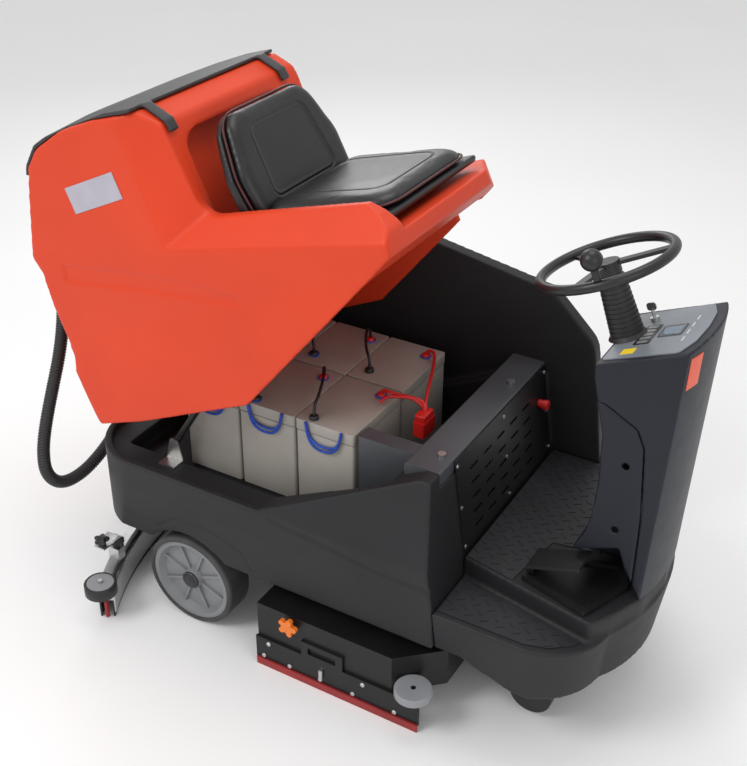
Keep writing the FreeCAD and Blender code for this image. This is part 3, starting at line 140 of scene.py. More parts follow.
BRUSHED = (2.0, 40.0, 40.0)
MATERIALS = {
    "tank_moulding": surface("orange_moulding", (0.66, 0.050, 0.013), 0.46, 0.06, 3.0, 0.25, 420.0,
                             specular=0.3),
    "body_moulding": surface("charcoal_moulding", (0.015, 0.015, 0.017), 0.55, 0.14, 4.0, 0.35, 380.0,
                             specular=0.35),
    "console_moulding": surface("console_moulding", (0.010, 0.012, 0.020), 0.46, 0.14, 4.0, 0.35, 420.0,
                                specular=0.35),
    "lid_moulding": surface("lid_moulding", (0.030, 0.030, 0.032), 0.5, 0.15, 6.0, 0.3, 400.0),
    "panel_grey": surface("panel_film", (0.20, 0.22, 0.25), 0.35, 0.1, 8.0, 0.1, 600.0),
    "mat_rubber": surface("mat_rubber", (0.018, 0.018, 0.021), 0.45, 0.2, 9.0, 0.4, 300.0),
    "black_rubber": surface("black_rubber", (0.016, 0.016, 0.017), 0.5, 0.2, 8.0, 0.3, 400.0),
    "tyre_rubber": surface("tyre_rubber", (0.05, 0.05, 0.052), 0.7, 0.25, 12.0, 0.5, 250.0),
    "hub_grey": surface("hub_grey", (0.21, 0.215, 0.225), 0.42, 0.08, 8.0, 0.2, 400.0),
    "roller_grey": surface("roller_grey", (0.27, 0.275, 0.29), 0.45, 0.1, 10.0, 0.2, 400.0),
    "battery_case": surface("battery_case", (0.36, 0.335, 0.30), 0.5, 0.08, 7.0, 0.3, 350.0),
    "terminal_red": surface("terminal_red", (0.62, 0.015, 0.012), 0.35, 0.1, 20.0, 0.1, 400.0),
    "cable_black": surface("cable_black", (0.012, 0.012, 0.013), 0.4, 0.2, 20.0, 0.2, 500.0),
    "rope_blue": surface("rope_blue", (0.02, 0.07, 0.42), 0.7, 0.3, 60.0, 0.9, 900.0, 0.001),
    "connector_red": surface("connector_red", (0.60, 0.016, 0.014), 0.35, 0.08, 20.0, 0.1, 400.0),
    "grey_paint": surface("grey_paint", (0.060, 0.063, 0.070), 0.38, 0.12, 6.0, 0.25, 500.0),
    "black_paint": surface("black_paint", (0.009, 0.009, 0.010), 0.38, 0.2, 8.0, 0.25, 450.0, specular=0.35),
    "zinc_steel": surface("zinc_steel", (0.55, 0.55, 0.54), 0.35, 0.12, 18.0, 0.2, 300.0, metallic=1.0),
    "stainless": surface("stainless", (0.58, 0.58, 0.59), 0.30, 0.08, 10.0, 0.2, 160.0, metallic=1.0,
                         stretch=BRUSHED),
    "alloy": surface("cast_alloy", (0.5, 0.5, 0.51), 0.45, 0.1, 14.0, 0.5, 260.0, metallic=1.0),
    "chrome_rod": surface("chrome_rod", (0.75, 0.75, 0.76), 0.12, 0.04, 10.0, 0.05, 300.0, metallic=1.0,
                          rough_vary=0.03),
    "seat_vinyl": surface("seat_vinyl", (0.008, 0.008, 0.009), 0.36, 0.2, 10.0, 0.5, 420.0, 0.0006,
                          cells=True, coat=0.08),
    "seat_plastic": surface("seat_plastic", (0.013, 0.013, 0.014), 0.4, 0.15, 8.0, 0.3, 450.0),
    "blade_red": surface("blade_rubber", (0.30, 0.018, 0.020), 0.5, 0.15, 15.0, 0.2, 300.0),
    "orange_plastic": surface("orange_plastic", (0.85, 0.20, 0.02), 0.35, 0.08, 15.0, 0.1, 400.0),
    "black_plastic": surface("black_plastic", (0.012, 0.012, 0.013), 0.36, 0.15, 12.0, 0.2, 420.0),
    "bristle_blue": surface("bristles", (0.02, 0.03, 0.07), 0.8, 0.35, 30.0, 0.9, 700.0, 0.002,
                            stretch=(1.0, 1.0, 0.05)),
    "pump_black": surface("pump_black", (0.02, 0.02, 0.021), 0.4, 0.15, 14.0, 0.2, 400.0),
}
DISPLAY = surface("display_glass", (0.10, 0.17, 0.24), 0.12, 0.25, 30.0, 0.02, 200.0, coat=0.5)
YELLOW = surface("yellow_film", (0.85, 0.62, 0.03), 0.4, 0.05, 20.0, 0.05, 400.0)
ORANGE_FILM = surface("orange_film", (0.78, 0.09, 0.03), 0.35, 0.06, 20.0, 0.05, 400.0)
PLATE_GREY = surface("name_plate_blank", (0.42, 0.40, 0.46), 0.35, 0.06, 15.0, 0.08, 500.0)
WHITE_INK = surface("white_marks", (0.62, 0.63, 0.64), 0.5, 0.06, 30.0, 0.05, 400.0)
MAROON = surface("maroon_piping", (0.060, 0.008, 0.010), 0.45, 0.2, 40.0, 0.3, 600.0)
FRAME_SLOTS = {entry["node"]: entry["material_slot"] for entry in frame["record"]["subparts"]}
for node_name, node in NODES.items():
    node.data.materials.clear()
    node.data.materials.append(MATERIALS[FRAME_SLOTS[node_name]])


# ------------------------------------------------------------------ helpers for pieces
def link(name, mesh, material, smooth=True):
    obj = bpy.data.objects.new(name, mesh)
    bpy.context.scene.collection.objects.link(obj)
    obj.data.materials.append(material)
    if smooth:
        for polygon in obj.data.polygons:
            polygon.use_smooth = True
    return obj


def mesh_from(bm, name):
    bmesh.ops.recalc_face_normals(bm, faces=bm.faces)
    mesh = bpy.data.meshes.new(name)
    bm.to_mesh(mesh)
    bm.free()
    return mesh


def apply_modifiers(obj):
    depsgraph = bpy.context.evaluated_depsgraph_get()
    depsgraph.update()
    baked = bpy.data.meshes.new_from_object(obj.evaluated_get(depsgraph))
    obj.modifiers.clear()
    old = obj.data
    obj.data = baked
    bpy.data.meshes.remove(old)


def bevelled(obj, width, segments=3, angle=35.0):
    bevel = obj.modifiers.new("edges", "BEVEL")
    bevel.width = width
    bevel.segments = segments
    bevel.limit_method = "ANGLE"
    bevel.angle_limit = math.radians(angle)
    bevel.harden_normals = False
    apply_modifiers(obj)
    for polygon in obj.data.polygons:
        polygon.use_smooth = True
    return obj


def smooth_by_angle(obj, angle=35.0):
    """Sharp edges stay sharp and the rest is shaded smooth."""
    mesh = obj.data
    bm = bmesh.new()
    bm.from_mesh(mesh)
    for edge in bm.edges:
        edge.smooth = len(edge.link_faces) == 2 and edge.calc_face_angle(0.0) < math.radians(angle)
    for face in bm.faces:
        face.smooth = True
    bm.to_mesh(mesh)
    bm.free()


def prism(name, outline, depth_vector, material, edge=0.0):
    """A prism on a closed outline of 3-D points, with rounded edges."""
    bm = bmesh.new()
    low = [bm.verts.new(p) for p in outline]
    high = [bm.verts.new(Vector(p) + Vector(depth_vector)) for p in outline]
    bm.faces.new(low)
    bm.faces.new(list(reversed(high)))
    count = len(outline)
    for i in range(count):
        j = (i + 1) % count
        bm.faces.new((low[i], high[i], high[j], low[j]))
    obj = link(name, mesh_from(bm, name), material, smooth=False)
    if edge > 0:
        bevelled(obj, edge)
        smooth_by_angle(obj, 50)
    return obj


def turned_profile(name, profile, centre, axis, material, segments=48, smooth_angle=40.0):
    """A closed profile of (radius, height) points, turned about axis."""
    axis = Vector(axis).normalized()
    turn = Vector((0, 0, 1)).rotation_difference(axis)
    bm = bmesh.new()
    rings = []
    for i in range(segments):
        a = 2 * math.pi * i / segments
        ring = []
        for r, h in profile:
            p = turn @ Vector((r * MM * math.cos(a), r * MM * math.sin(a), h * MM))
            ring.append(bm.verts.new(p + centre))
        rings.append(ring)
    for i in range(segments):
        a, b = rings[i], rings[(i + 1) % segments]
        for k in range(len(profile) - 1):
            bm.faces.new((a[k], b[k], b[k + 1], a[k + 1]))
    bmesh.ops.remove_doubles(bm, verts=bm.verts, dist=1e-6)
    obj = link(name, mesh_from(bm, name), material)
    smooth_by_angle(obj, smooth_angle)
    return obj


def curve_piece(name, points, diameter, material, cyclic=False, sides=5):
    """A round rod, wire or piping along a smooth line."""
    curve = bpy.data.curves.new(name, "CURVE")
    curve.dimensions = "3D"
    spline = curve.splines.new("NURBS")
    spline.points.add(len(points) - 1)
    for i, p in enumerate(points):
        spline.points[i].co = (*p, 1)
    spline.order_u = 3
    spline.use_endpoint_u = not cyclic
    spline.use_cyclic_u = cyclic
    spline.resolution_u = 10
    curve.bevel_depth = diameter / 2.0
    curve.bevel_resolution = sides
    curve.use_fill_caps = True
    obj = bpy.data.objects.new(name, curve)
    bpy.context.scene.collection.objects.link(obj)
    curve.materials.append(material)
    return obj


def arrays(mesh):
    co = np.empty(len(mesh.vertices) * 3)
    mesh.vertices.foreach_get("co", co)
    no = np.empty(len(mesh.vertices) * 3)
    mesh.vertices.foreach_get("normal", no)
    return co.reshape(-1, 3), no.reshape(-1, 3)


def put_back(mesh, co):
    mesh.vertices.foreach_set("co", co.ravel())
    mesh.update()


def inside_distance(px, pz, outline):
    """Signed distance of points to a closed outline, positive inside."""
    count = len(outline)
    best = np.full(px.shape, 1e9)
    inside = np.zeros(px.shape, dtype=bool)
    for i in range(count):
        ax, az = outline[i]
        bx, bz = outline[(i + 1) % count]
        dx, dz = bx - ax, bz - az
        t = np.clip(((px - ax) * dx + (pz - az) * dz) / (dx * dx + dz * dz), 0, 1)
        best = np.minimum(best, np.hypot(px - ax - t * dx, pz - az - t * dz))
        crosses = ((az > pz) != (bz > pz)) & (px < (bx - ax) * (pz - az) / (bz - az + 1e-12) + ax)
        inside ^= crosses
    return np.where(inside, best, -best)


def line_distance(px, pz, line):
    """Distance of points to an open line."""
    best = np.full(px.shape, 1e9)
    for (ax, az), (bx, bz) in zip(line, line[1:]):
        dx, dz = bx - ax, bz - az
        t = np.clip(((px - ax) * dx + (pz - az) * dz) / (dx * dx + dz * dz), 0, 1)
        best = np.minimum(best, np.hypot(px - ax - t * dx, pz - az - t * dz))
    return best


def smoothstep(v):
    v = np.clip(v, 0, 1)
    return v * v * (3 - 2 * v)


def press(obj, outline, depth, facing, soft=0.006, plane="xz"):
    """Moves the surface that faces one way in by depth, inside an outline in the drawing frame."""
    co, no = arrays(obj.data)
    way = np.array(facing, dtype=float)
    first, second = {"xz": (0, 2), "xy": (0, 1), "yz": (1, 2)}[plane]
    shift = (SHIFT_X if first == 0 else 0.0)
    outline_m = [(a * MM + shift, b * MM) for a, b in outline]
    d = inside_distance(co[:, first], co[:, second], outline_m)
    weight = smoothstep(d / soft + 0.5) * (no @ way > 0.5)
    put_back(obj.data, co - way * depth * MM * weight[:, None])


def groove(obj, line, width, depth, facing, plane="xz"):
    """Presses a soft groove along a line in the drawing frame."""
    co, no = arrays(obj.data)
    way = np.array(facing, dtype=float)
    first, second = {"xz": (0, 2), "xy": (0, 1), "yz": (1, 2)}[plane]
    shift = (SHIFT_X if first == 0 else 0.0)
    line_m = [(a * MM + shift, b * MM) for a, b in line]
    d = line_distance(co[:, first], co[:, second], line_m)
    weight = smoothstep(1 - d / (width * MM)) * (no @ way > 0.5)
    put_back(obj.data, co - way * depth * MM * weight[:, None])


def moulded(name, node, voxel=0.005, rounds=6, cutters=()):
    """A moulding with soft edges, grown from a CAD node's shape."""
    source = NODES[node]
    mesh = source.data.copy()
    mesh.name = name
    mesh.materials.clear()
    obj = link(name, mesh, MATERIALS[FRAME_SLOTS[node]])
    for i, shape in enumerate(cutters):
        cut = obj.modifiers.new("cut%d" % i, "BOOLEAN")
        cut.operation = "DIFFERENCE"
        cut.object = shape
        cut.solver = "EXACT"
    if cutters:
        apply_modifiers(obj)
        for shape in cutters:
            bpy.data.objects.remove(shape)
    remesh = obj.modifiers.new("skin", "REMESH")
    remesh.mode = "VOXEL"
    remesh.voxel_size = voxel * 1.0
    remesh.use_smooth_shade = True
    ease = obj.modifiers.new("ease", "SMOOTH")
    ease.factor = 0.5
    ease.iterations = rounds
    apply_modifiers(obj)
    obj.data.materials.clear()
    obj.data.materials.append(MATERIALS[FRAME_SLOTS[node]])
    for polygon in obj.data.polygons:
        polygon.use_smooth = True
    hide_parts(node)
    return obj


# ------------------------------------------------------------------ suction hose
HOSE_D = 0.040
HOSE = [opened(-765, -205, 905), at(-980, -206, 869), at(-979, -218, 790), at(-978, -252, 690),
        at(-972, -305, 600), at(-965, -358, 510), at(-957, -398, 425), at(-948, -408, 345),
        at(-938, -362, 285), at(-922, -282, 285), at(-910, -190, 325), at(-903, -118, 380),
        at(-820, -112, 390)]


def route_points(points):
    """Points along the NURBS line through the route's control points."""
    line = curve_piece("route_line", points, 0.0, MATERIALS["black_rubber"])
    line.data.bevel_depth = 0.0
    line.data.resolution_u = 24
    bpy.context.view_layer.update()
    depsgraph = bpy.context.evaluated_depsgraph_get()
    mesh = bpy.data.meshes.new_from_object(line.evaluated_get(depsgraph))
    result = [Vector(v.co) for v in mesh.vertices]
    bpy.data.objects.remove(line)
    return result


def ribbed_tube(name, path, outer, depth, pitch, material):
    """A corrugated hose: rings whose radius rises and falls along the path."""
    lengths = [0.0]
    for a, b in zip(path, path[1:]):
        lengths.append(lengths[-1] + (b - a).length)
    total = lengths[-1]
    steps = int(total / (pitch / 6.0))
    bm = bmesh.new()
    rings = []
    normal = Vector((0, 1, 0))
    k = 0
    sides = 28
    for i in range(steps + 1):
        s = total * i / steps
        while k < len(lengths) - 2 and lengths[k + 1] < s:
            k += 1
        span = max(lengths[k + 1] - lengths[k], 1e-9)
        t = (s - lengths[k]) / span
        centre = path[k].lerp(path[k + 1], t)
        before = (path[min(k + 1, len(path) - 1)] - path[max(k, 0)]).normalized()
        after = (path[min(k + 2, len(path) - 1)] - path[min(k + 1, len(path) - 2)]).normalized()
        tangent = before.lerp(after, t).normalized()
        normal = (normal - tangent * normal.dot(tangent)).normalized()
        side = tangent.cross(normal)
        wave = 0.5 + 0.5 * math.cos(2 * math.pi * s / pitch)
        radius = outer - depth * (1 - wave ** 0.6)
        ring = []
        for j in range(sides):
            a = 2 * math.pi * j / sides
            ring.append(bm.verts.new(centre + (normal * math.cos(a) + side * math.sin(a)) * radius))
        rings.append(ring)
    for a, b in zip(rings, rings[1:]):
        for j in range(sides):
            bm.faces.new((a[j], a[(j + 1) % sides], b[(j + 1) % sides], b[j]))
    bm.faces.new(rings[0])
    bm.faces.new(list(reversed(rings[-1])))
    return link(name, mesh_from(bm, name), material), total


hose_path = route_points(HOSE)
hose, hose_length = ribbed_tube("suction_hose_ribbed", hose_path, HOSE_D / 2, 0.0028, 0.0085,
                                MATERIALS["black_rubber"])
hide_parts("suction_hose")
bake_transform(hose)

# ------------------------------------------------------------------ mouldings
tank = moulded("recovery_tank_moulding", "recovery_tank", 0.005, 8)
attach(tank, "tank")
body = moulded("lower_body_moulding", "lower_body", 0.005, 5)
SIDE_CREASE = [(-110, 502), (-95, 497), (79, 480), (246, 460), (377, 461), (384, 425)]
ARCH_LINE = [(-640, 330), (-515, 318), (-470, 352), (-446, 368), (-338, 380), (-219, 345), (-189, 286)]
groove(body, SIDE_CREASE, 9.0, 4.0, (0, -1, 0))
groove(body, ARCH_LINE, 7.0, 2.5, (0, -1, 0))
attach(body, "base")
front = moulded("front_base_moulding", "front_base", 0.005, 5)
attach(front, "base")
for node_name, voxel in (("console_shell", 0.0035), ("console_rear_cover", 0.0035)):
    shell = moulded(node_name + "_moulding", node_name, voxel, 4)
    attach(shell, "base")

lid = moulded("tank_lid_moulding", "tank_lid", 0.004, 4)
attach(lid, "lid")


# ------------------------------------------------------------------ seat: padded goods
class Plane:
    """A flat drawing plane on the closed tank: foot point, direction in side view, height off the plane."""

    def __init__(self, foot, tip):
        dx, dz = tip[0] - foot[0], tip[1] - foot[1]
        size = math.hypot(dx, dz)
        self.foot, self.u, self.n = foot, (dx / size, dz / size), (-dz / size, dx / size)

    def point(self, s, y, h):
        x = self.foot[0] + self.u[0] * s + self.n[0] * h
        z = self.foot[1] + self.u[1] * s + self.n[1] * h
        return opened(x, y, z)


def rounded(corners, radii, steps=8):
    """Closed outline with rounded corners."""
    points = []
    count = len(corners)
    for i, corner in enumerate(corners):
        c = Vector(corner)
        to_last = (Vector(corners[i - 1]) - c).normalized()
        to_next = (Vector(corners[(i + 1) % count]) - c).normalized()
        half = to_last.angle(to_next) / 2.0
        reach = radii[i] / math.tan(half)
        centre = c + (to_last + to_next).normalized() * (radii[i] / math.sin(half))
        start = c + to_last * reach - centre
        end = c + to_next * reach - centre
        for k in range(steps + 1):
            t = k / steps
            way = start.lerp(end, t)
            points.append(centre + way.normalized() * radii[i])
    return points


def spread(outline, count):
    """Outline resampled to evenly spaced points."""
    closed = list(outline) + [outline[0]]
    lengths = [0.0]
    for a, b in zip(closed, closed[1:]):
        lengths.append(lengths[-1] + (b - a).length)
    result = []
    k = 0
    for i in range(count):
        s = lengths[-1] * i / count
        while lengths[k + 1] < s:
            k += 1
        t = (s - lengths[k]) / max(lengths[k + 1] - lengths[k], 1e-9)
        result.append(closed[k].lerp(closed[k + 1], t))
    return result


def pad_mesh(name, outline, thickness, bulge):
    """Crowned pad on the flat: sides pulled in at the base, top domed. thickness(s, y) in millimetres."""
    loop = spread(outline, 120)
    centre = sum(loop, Vector((0, 0))) / len(loop)
    bm = bmesh.new()
    levels = [(0.95, 0.0), (0.985, 0.14), (1.0, 0.38), (0.995, 0.6), (0.97, 0.82), (0.93, 0.95), (0.87, 1.0)]
    levels += [(0.87 * (1 - i / 9.0), 1.0) for i in range(1, 9)]
    rings = []
    for scale, height in levels:
        ring = []
        for p in loop:
            q = centre + (p - centre) * scale
            dome = bulge * (1 - (scale / 0.87) ** 2) if height >= 1.0 else 0.0
            ring.append(bm.verts.new((q.x * MM, q.y * MM, (thickness(q.x, q.y) * height + dome) * MM)))
        rings.append(ring)
    for a, b in zip(rings, rings[1:]):
        for i in range(len(loop)):
            j = (i + 1) % len(loop)
            bm.faces.new((a[i], a[j], b[j], b[i]))
    bm.faces.new(list(reversed(rings[0])))
    bm.faces.new(rings[-1])
    bmesh.ops.triangulate(bm, faces=[f for f in bm.faces if len(f.verts) > 4])
    return mesh_from(bm, name)


def stuff(obj, cap, voxel=0.006):
    """Fills a pad by cloth simulation, and keeps each point within cap of its start."""
    remesh = obj.modifiers.new("skin", "REMESH")
    remesh.mode = "VOXEL"
    remesh.voxel_size = voxel
    apply_modifiers(obj)
    start, _ = arrays(obj.data)
    scene = bpy.context.scene
    cloth = obj.modifiers.new("fill", "CLOTH")
    cloth.settings.use_pressure = True
    cloth.settings.uniform_pressure_force = 4.0
    cloth.settings.quality = 5
    cloth.settings.effector_weights.gravity = 0.0
    cloth.point_cache.frame_start = 1
    cloth.point_cache.frame_end = 20
    for step in range(1, 21):
        scene.frame_set(step)
    apply_modifiers(obj)
    scene.frame_set(1)
    co, _ = arrays(obj.data)
    move = co - start
    reach = np.linalg.norm(move, axis=1)
    move *= (np.minimum(reach, cap) / np.maximum(reach, 1e-9))[:, None]
    move[:, 2] *= start[:, 2] > 0.004
    put_back(obj.data, start + move)
    ease = obj.modifiers.new("ease", "SMOOTH")
    ease.iterations = 4
    divide = obj.modifiers.new("divide", "SUBSURF")
    divide.levels = 1
    apply_modifiers(obj)


def seam(obj, line, width, depth):
    """A sewn channel pressed into a pad that still lies flat; line is a closed outline."""
    co, no = arrays(obj.data)
    closed = [(p[0] * MM, p[1] * MM) for p in line] + [(line[0][0] * MM, line[0][1] * MM)]
    d = line_distance(co[:, 0], co[:, 1], closed)
    weight = smoothstep(1 - d / (width * MM)) * (no[:, 2] > 0.3)
    co[:, 2] -= depth * MM * weight
    put_back(obj.data, co)


def sink(obj, line, depth, soft=14.0):
    """Lowers the panel inside a closed outline."""
    co, no = arrays(obj.data)
    d = inside_distance(co[:, 0], co[:, 1], [(p[0] * MM, p[1] * MM) for p in line])
    weight = smoothstep(d / (soft * MM)) * (no[:, 2] > 0.3)
    co[:, 2] -= depth * MM * weight
    put_back(obj.data, co)


def lay(obj, plane):
    """Takes a pad drawn on the flat to its place on the seat."""
    co, _ = arrays(obj.data)
    origin = plane.point(0, 0, 0)
    u = (plane.point(1, 0, 0) - origin) / MM
    n = (plane.point(0, 0, 1) - origin) / MM
    moved = np.array(origin)[None, :] + co[:, :1] * np.array(u) + co[:, 2:3] * np.array(n)
    moved[:, 1] += co[:, 1]
    put_back(obj.data, moved)
    if plane.n[0] * plane.u[1] - plane.n[1] * plane.u[0] > 0:  # the plane is a mirror image of the flat
        obj.data.flip_normals()


def make_pad(name, node, outline, thickness, bulge, panel, plane, cap):
    obj = link(name, pad_mesh(name, outline, thickness, bulge), MATERIALS["seat_vinyl"])
    stuff(obj, cap)
    sink(obj, panel, 3.0)
    seam(obj, panel, 5.0, 4.0)
    lay(obj, plane)
    for polygon in obj.data.polygons:
        polygon.use_smooth = True
    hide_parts(node)
    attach(obj, "seat")
    return obj


class BackPlane(Plane):
    """The backrest's plane, whose height runs forward."""

    def __init__(self, foot, tip):
        super().__init__(foot, tip)
        self.n = (-self.n[0], -self.n[1])


CUSHION = Plane((27, 929.5), (404, 892.5))
CUSHION_OUTLINE = rounded([(0, -220), (373, -214), (373, 214), (0, 220)], [28, 66, 66, 28])
CUSHION_PANEL = rounded([(34, -140), (322, -150), (322, 150), (34, 140)], [26, 44, 44, 26])


def cushion_thickness(s, y):
    """Thickest at the rear."""
    return 58.0 - 0.075 * s


make_pad("seat_cushion_pad", "seat_cushion", CUSHION_OUTLINE, cushion_thickness, 7.0, CUSHION_PANEL, CUSHION,
         0.006)
BACK = BackPlane((5, 940), (-23, 1234))
BACK_OUTLINE = rounded([(0, 218), (130, 226), (289, 176), (289, -176), (130, -226), (0, -218)],
                       [26, 130, 66, 66, 130, 26])
BACK_PANEL = rounded([(44, 146), (238, 124), (238, -124), (44, -146)], [28, 34, 34, 28])


def back_thickness(s, y):
    """Thickest at the side bolsters."""
    return 24.0 + 12.0 * (abs(y) / 226.0) ** 3


make_pad("seat_back_pad_stuffed", "seat_back_pad", BACK_OUTLINE, back_thickness, 5.0, BACK_PANEL, BACK,
         0.005)
for name, plane, line, height in (("cushion_piping", CUSHION, CUSHION_OUTLINE, 12.0),
                                  ("backrest_piping", BACK, BACK_OUTLINE, 6.0)):
    piping = curve_piece(name, [plane.point(p[0], p[1], height) for p in spread(line, 60)], 0.007, MAROON,
                         cyclic=True)
    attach(piping, "seat")


def corner_block(name, side):
    """Waste block outside the backrest's rounded upper corner."""
    line = [(112, 234), (150, 224), (200, 209), (245, 193), (272, 168), (290, 134)]
    line += [(335, 134), (335, 280), (112, 280)]
    low = [BACK.point(a, b * side, -60) for a, b in line]
    rise = BACK.point(0, 0, 120) - BACK.point(0, 0, 0)
    return prism(name, low, rise, MATERIALS["seat_plastic"])


pan = moulded("seat_pan_moulding", "seat_shell", 0.004, 4,
              cutters=[corner_block("waste_right", -1), corner_block("waste_left", 1)])
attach(pan, "seat")


# ------------------------------------------------------------------ tank details
def label(name, target, centre, way, up, width, height, material, thick=0.0012):
    """A thin rounded film laid onto a curved surface, looking along way."""
    way = Vector(way).normalized()
    up = (Vector(up) - way * Vector(up).dot(way)).normalized()
    across = up.cross(way).normalized()
    bm = bmesh.new()
    bmesh.ops.create_grid(bm, x_segments=40, y_segments=24, size=0.5)
    for v in list(bm.verts):
        x, y = v.co.x * width, v.co.y * height
        v.co = Vector(centre) - way * 0.06 + across * x + up * y
    mesh = mesh_from(bm, name)
    obj = link(name, mesh, material)
    for vertex in obj.data.vertices:
        hit, place, normal, _ = target.ray_cast(vertex.co, way)
        if hit:
            vertex.co = place + normal * thick
    solid = obj.modifiers.new("thick", "SOLIDIFY")
    solid.thickness = thick
    solid.offset = -1.0
    apply_modifiers(obj)
    for polygon in obj.data.polygons:
        polygon.use_smooth = True
    return obj


SIDE_BAND = [(-625, 1003), (-399, 941), (-189, 864), (-80, 815), (-48, 792), (-70, 783), (-181, 815),
             (-333, 871), (-640, 958)]
band = [opened(x, 0, z) for x, z in SIDE_BAND]
press(tank, [((p.x - SHIFT_X) / MM, p.z / MM) for p in band], 5.0, (0, -1, 0), soft=0.012)
up_tank = opened(0, 0, 1) - opened(0, 0, 0)
plate = label("blank_name_plate", tank, opened(-390, -400, 1163), (0, 1, 0), up_tank, 0.190, 0.074,
              PLATE_GREY, 0.0018)
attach(plate, "tank")


# ------------------------------------------------------------------ batteries
def row_corner(node_name):
    """Lowest X and Y, and the top, of a row of batteries in the drawing frame."""
    co, _ = arrays(NODES[node_name].data)
    low = co.min(axis=0) / MM
    return low[0] - SHIFT_X / MM, low[1], co[:, 2].max() / MM


bat_x, near_y, bat_top = row_corner("batteries_right_row")
far_y = row_corner("batteries_left_row")[1]
PITCH = 190.0
red_places, black_places = [], []
for column in range(3):
    x0 = bat_x + column * PITCH
    black_places.append((x0 + 49, near_y + 22))
    red_places.append((x0 + 147, near_y + 215))
    black_places.append((x0 + 50, far_y + 48))
    red_places.append((x0 + 150, far_y + 206))
CAP = [(0, 13), (8, 13), (11.5, 11), (13, 8), (13.5, 0.3), (0, 0.3)]


def joined(name, pieces):
    bm = bmesh.new()
    for piece in pieces:
        bm.from_mesh(piece.data)
    material = pieces[0].data.materials[0]
    for piece in pieces:
        bpy.data.objects.remove(piece)
    mesh = bpy.data.meshes.new(name)
    bm.to_mesh(mesh)
    bm.free()
    return link(name, mesh, material, smooth=False)


for name, places, slot in (("positive_caps", red_places, "terminal_red"),
                           ("negative_caps", black_places, "cable_black")):
    caps = [turned_profile("cap", CAP, at(x, y, bat_top), (0, 0, 1), MATERIALS[slot], 28)
            for x, y in places]
    group = joined(name, caps)
    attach(group, "base")
    if slot == "terminal_red":
        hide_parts("terminal_caps")


def jumper(start, end, lean, rise=46.0):
    """Route of one black cable that rises from one cap, crosses over and drops to the next."""
    (ax, ay), (bx, by) = start, end
    z = bat_top + 10
    route = [at(ax, ay, z), at(ax, ay, z + rise * 0.7)]
    for part in (0.2, 0.8):
        route.append(at(ax + (bx - ax) * part + lean, ay + (by - ay) * part, z + rise))
    return route + [at(bx, by, z + rise * 0.7), at(bx, by, z)]


jumper_ends = []
for column in range(2):
    jumper_ends.append((red_places[column * 2], black_places[column * 2 + 2]))
    jumper_ends.append((red_places[column * 2 + 1], black_places[column * 2 + 3]))
for index, (start, end) in enumerate(jumper_ends):
    cable = curve_piece("jumper_%d" % index, jumper(start, end, -14 if index % 2 else 12), 0.0085,
                        MATERIALS["cable_black"])
    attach(cable, "base")
    if index == 0:
        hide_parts("jumper_cables")
for column in range(3):
    x0 = bat_x + column * PITCH
    for strand in range(2):
        y = near_y - 5.0 - 3.0 * strand
        drop = 62.0 + 12.0 * strand
        line = [(x0 + 40, bat_top + 2), (x0 + 44, bat_top - drop * 0.55), (x0 + 66, bat_top - drop),
                (x0 + 122, bat_top - drop), (x0 + 146, bat_top - drop * 0.55), (x0 + 152, bat_top + 2)]
        rope = curve_piece("rope_%d_%d" % (column, strand), [at(a, y, b) for a, b in line], 0.0075,
                           MATERIALS["rope_blue"])
        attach(rope, "base")
        if column + strand == 0:
            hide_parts("rope_handles")
CASE_W, CASE_L, CASE_FOOT = 188.0, 260.0, 445.0
LID_H, SEAM = 34.0, 3.0
for node_name, row_y in (("batteries_right_row", near_y), ("batteries_left_row", far_y)):
    parts = []
    for column in range(3):
        x0 = bat_x + column * PITCH
        for inset, low, high in ((2.0, CASE_FOOT, bat_top - LID_H - SEAM), (5.0, bat_top - LID_H - SEAM - 1.0,
                                 bat_top - LID_H + 1.0), (0.5, bat_top - LID_H, bat_top)):
            ends = [(x0 + inset, row_y + inset), (x0 + CASE_W - inset, row_y + inset),
                    (x0 + CASE_W - inset, row_y + CASE_L - inset), (x0 + inset, row_y + CASE_L - inset)]
            line = rounded(ends, [8.0] * 4, 4)
            parts.append(prism("case", [at(p[0], p[1], low) for p in line], Vector((0, 0, (high - low) * MM)),
                               MATERIALS["battery_case"], 0.0015))
    row = joined(node_name + "_cases", parts)
    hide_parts(node_name)
    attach(row, "base")

# ------------------------------------------------------------------ console panel
PANEL_FOOT, PANEL_TIP = (655.0, 1082.0), (880.0, 1177.0)
panel_len = math.hypot(PANEL_TIP[0] - PANEL_FOOT[0], PANEL_TIP[1] - PANEL_FOOT[1])
panel_u = ((PANEL_TIP[0] - PANEL_FOOT[0]) / panel_len, (PANEL_TIP[1] - PANEL_FOOT[1]) / panel_len)


def on_panel(s, y, h):
    """A point on the sloped panel: s up the slope, y across it, h off its face."""
    x = PANEL_FOOT[0] + panel_u[0] * s - panel_u[1] * h
    z = PANEL_FOOT[1] + panel_u[1] * s + panel_u[0] * h
    return at(x, y, z)


def panel_patch(name, s0, s1, y0, y1, h0, h1, material, corner=2.0):
    line = rounded([(s0, y0), (s1, y0), (s1, y1), (s0, y1)], [corner] * 4, 4)
    low = [on_panel(p[0], p[1], h0) for p in line]
    piece = prism(name, low, on_panel(0, 0, h1) - on_panel(0, 0, h0), material)
    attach(piece, "base")
    return piece


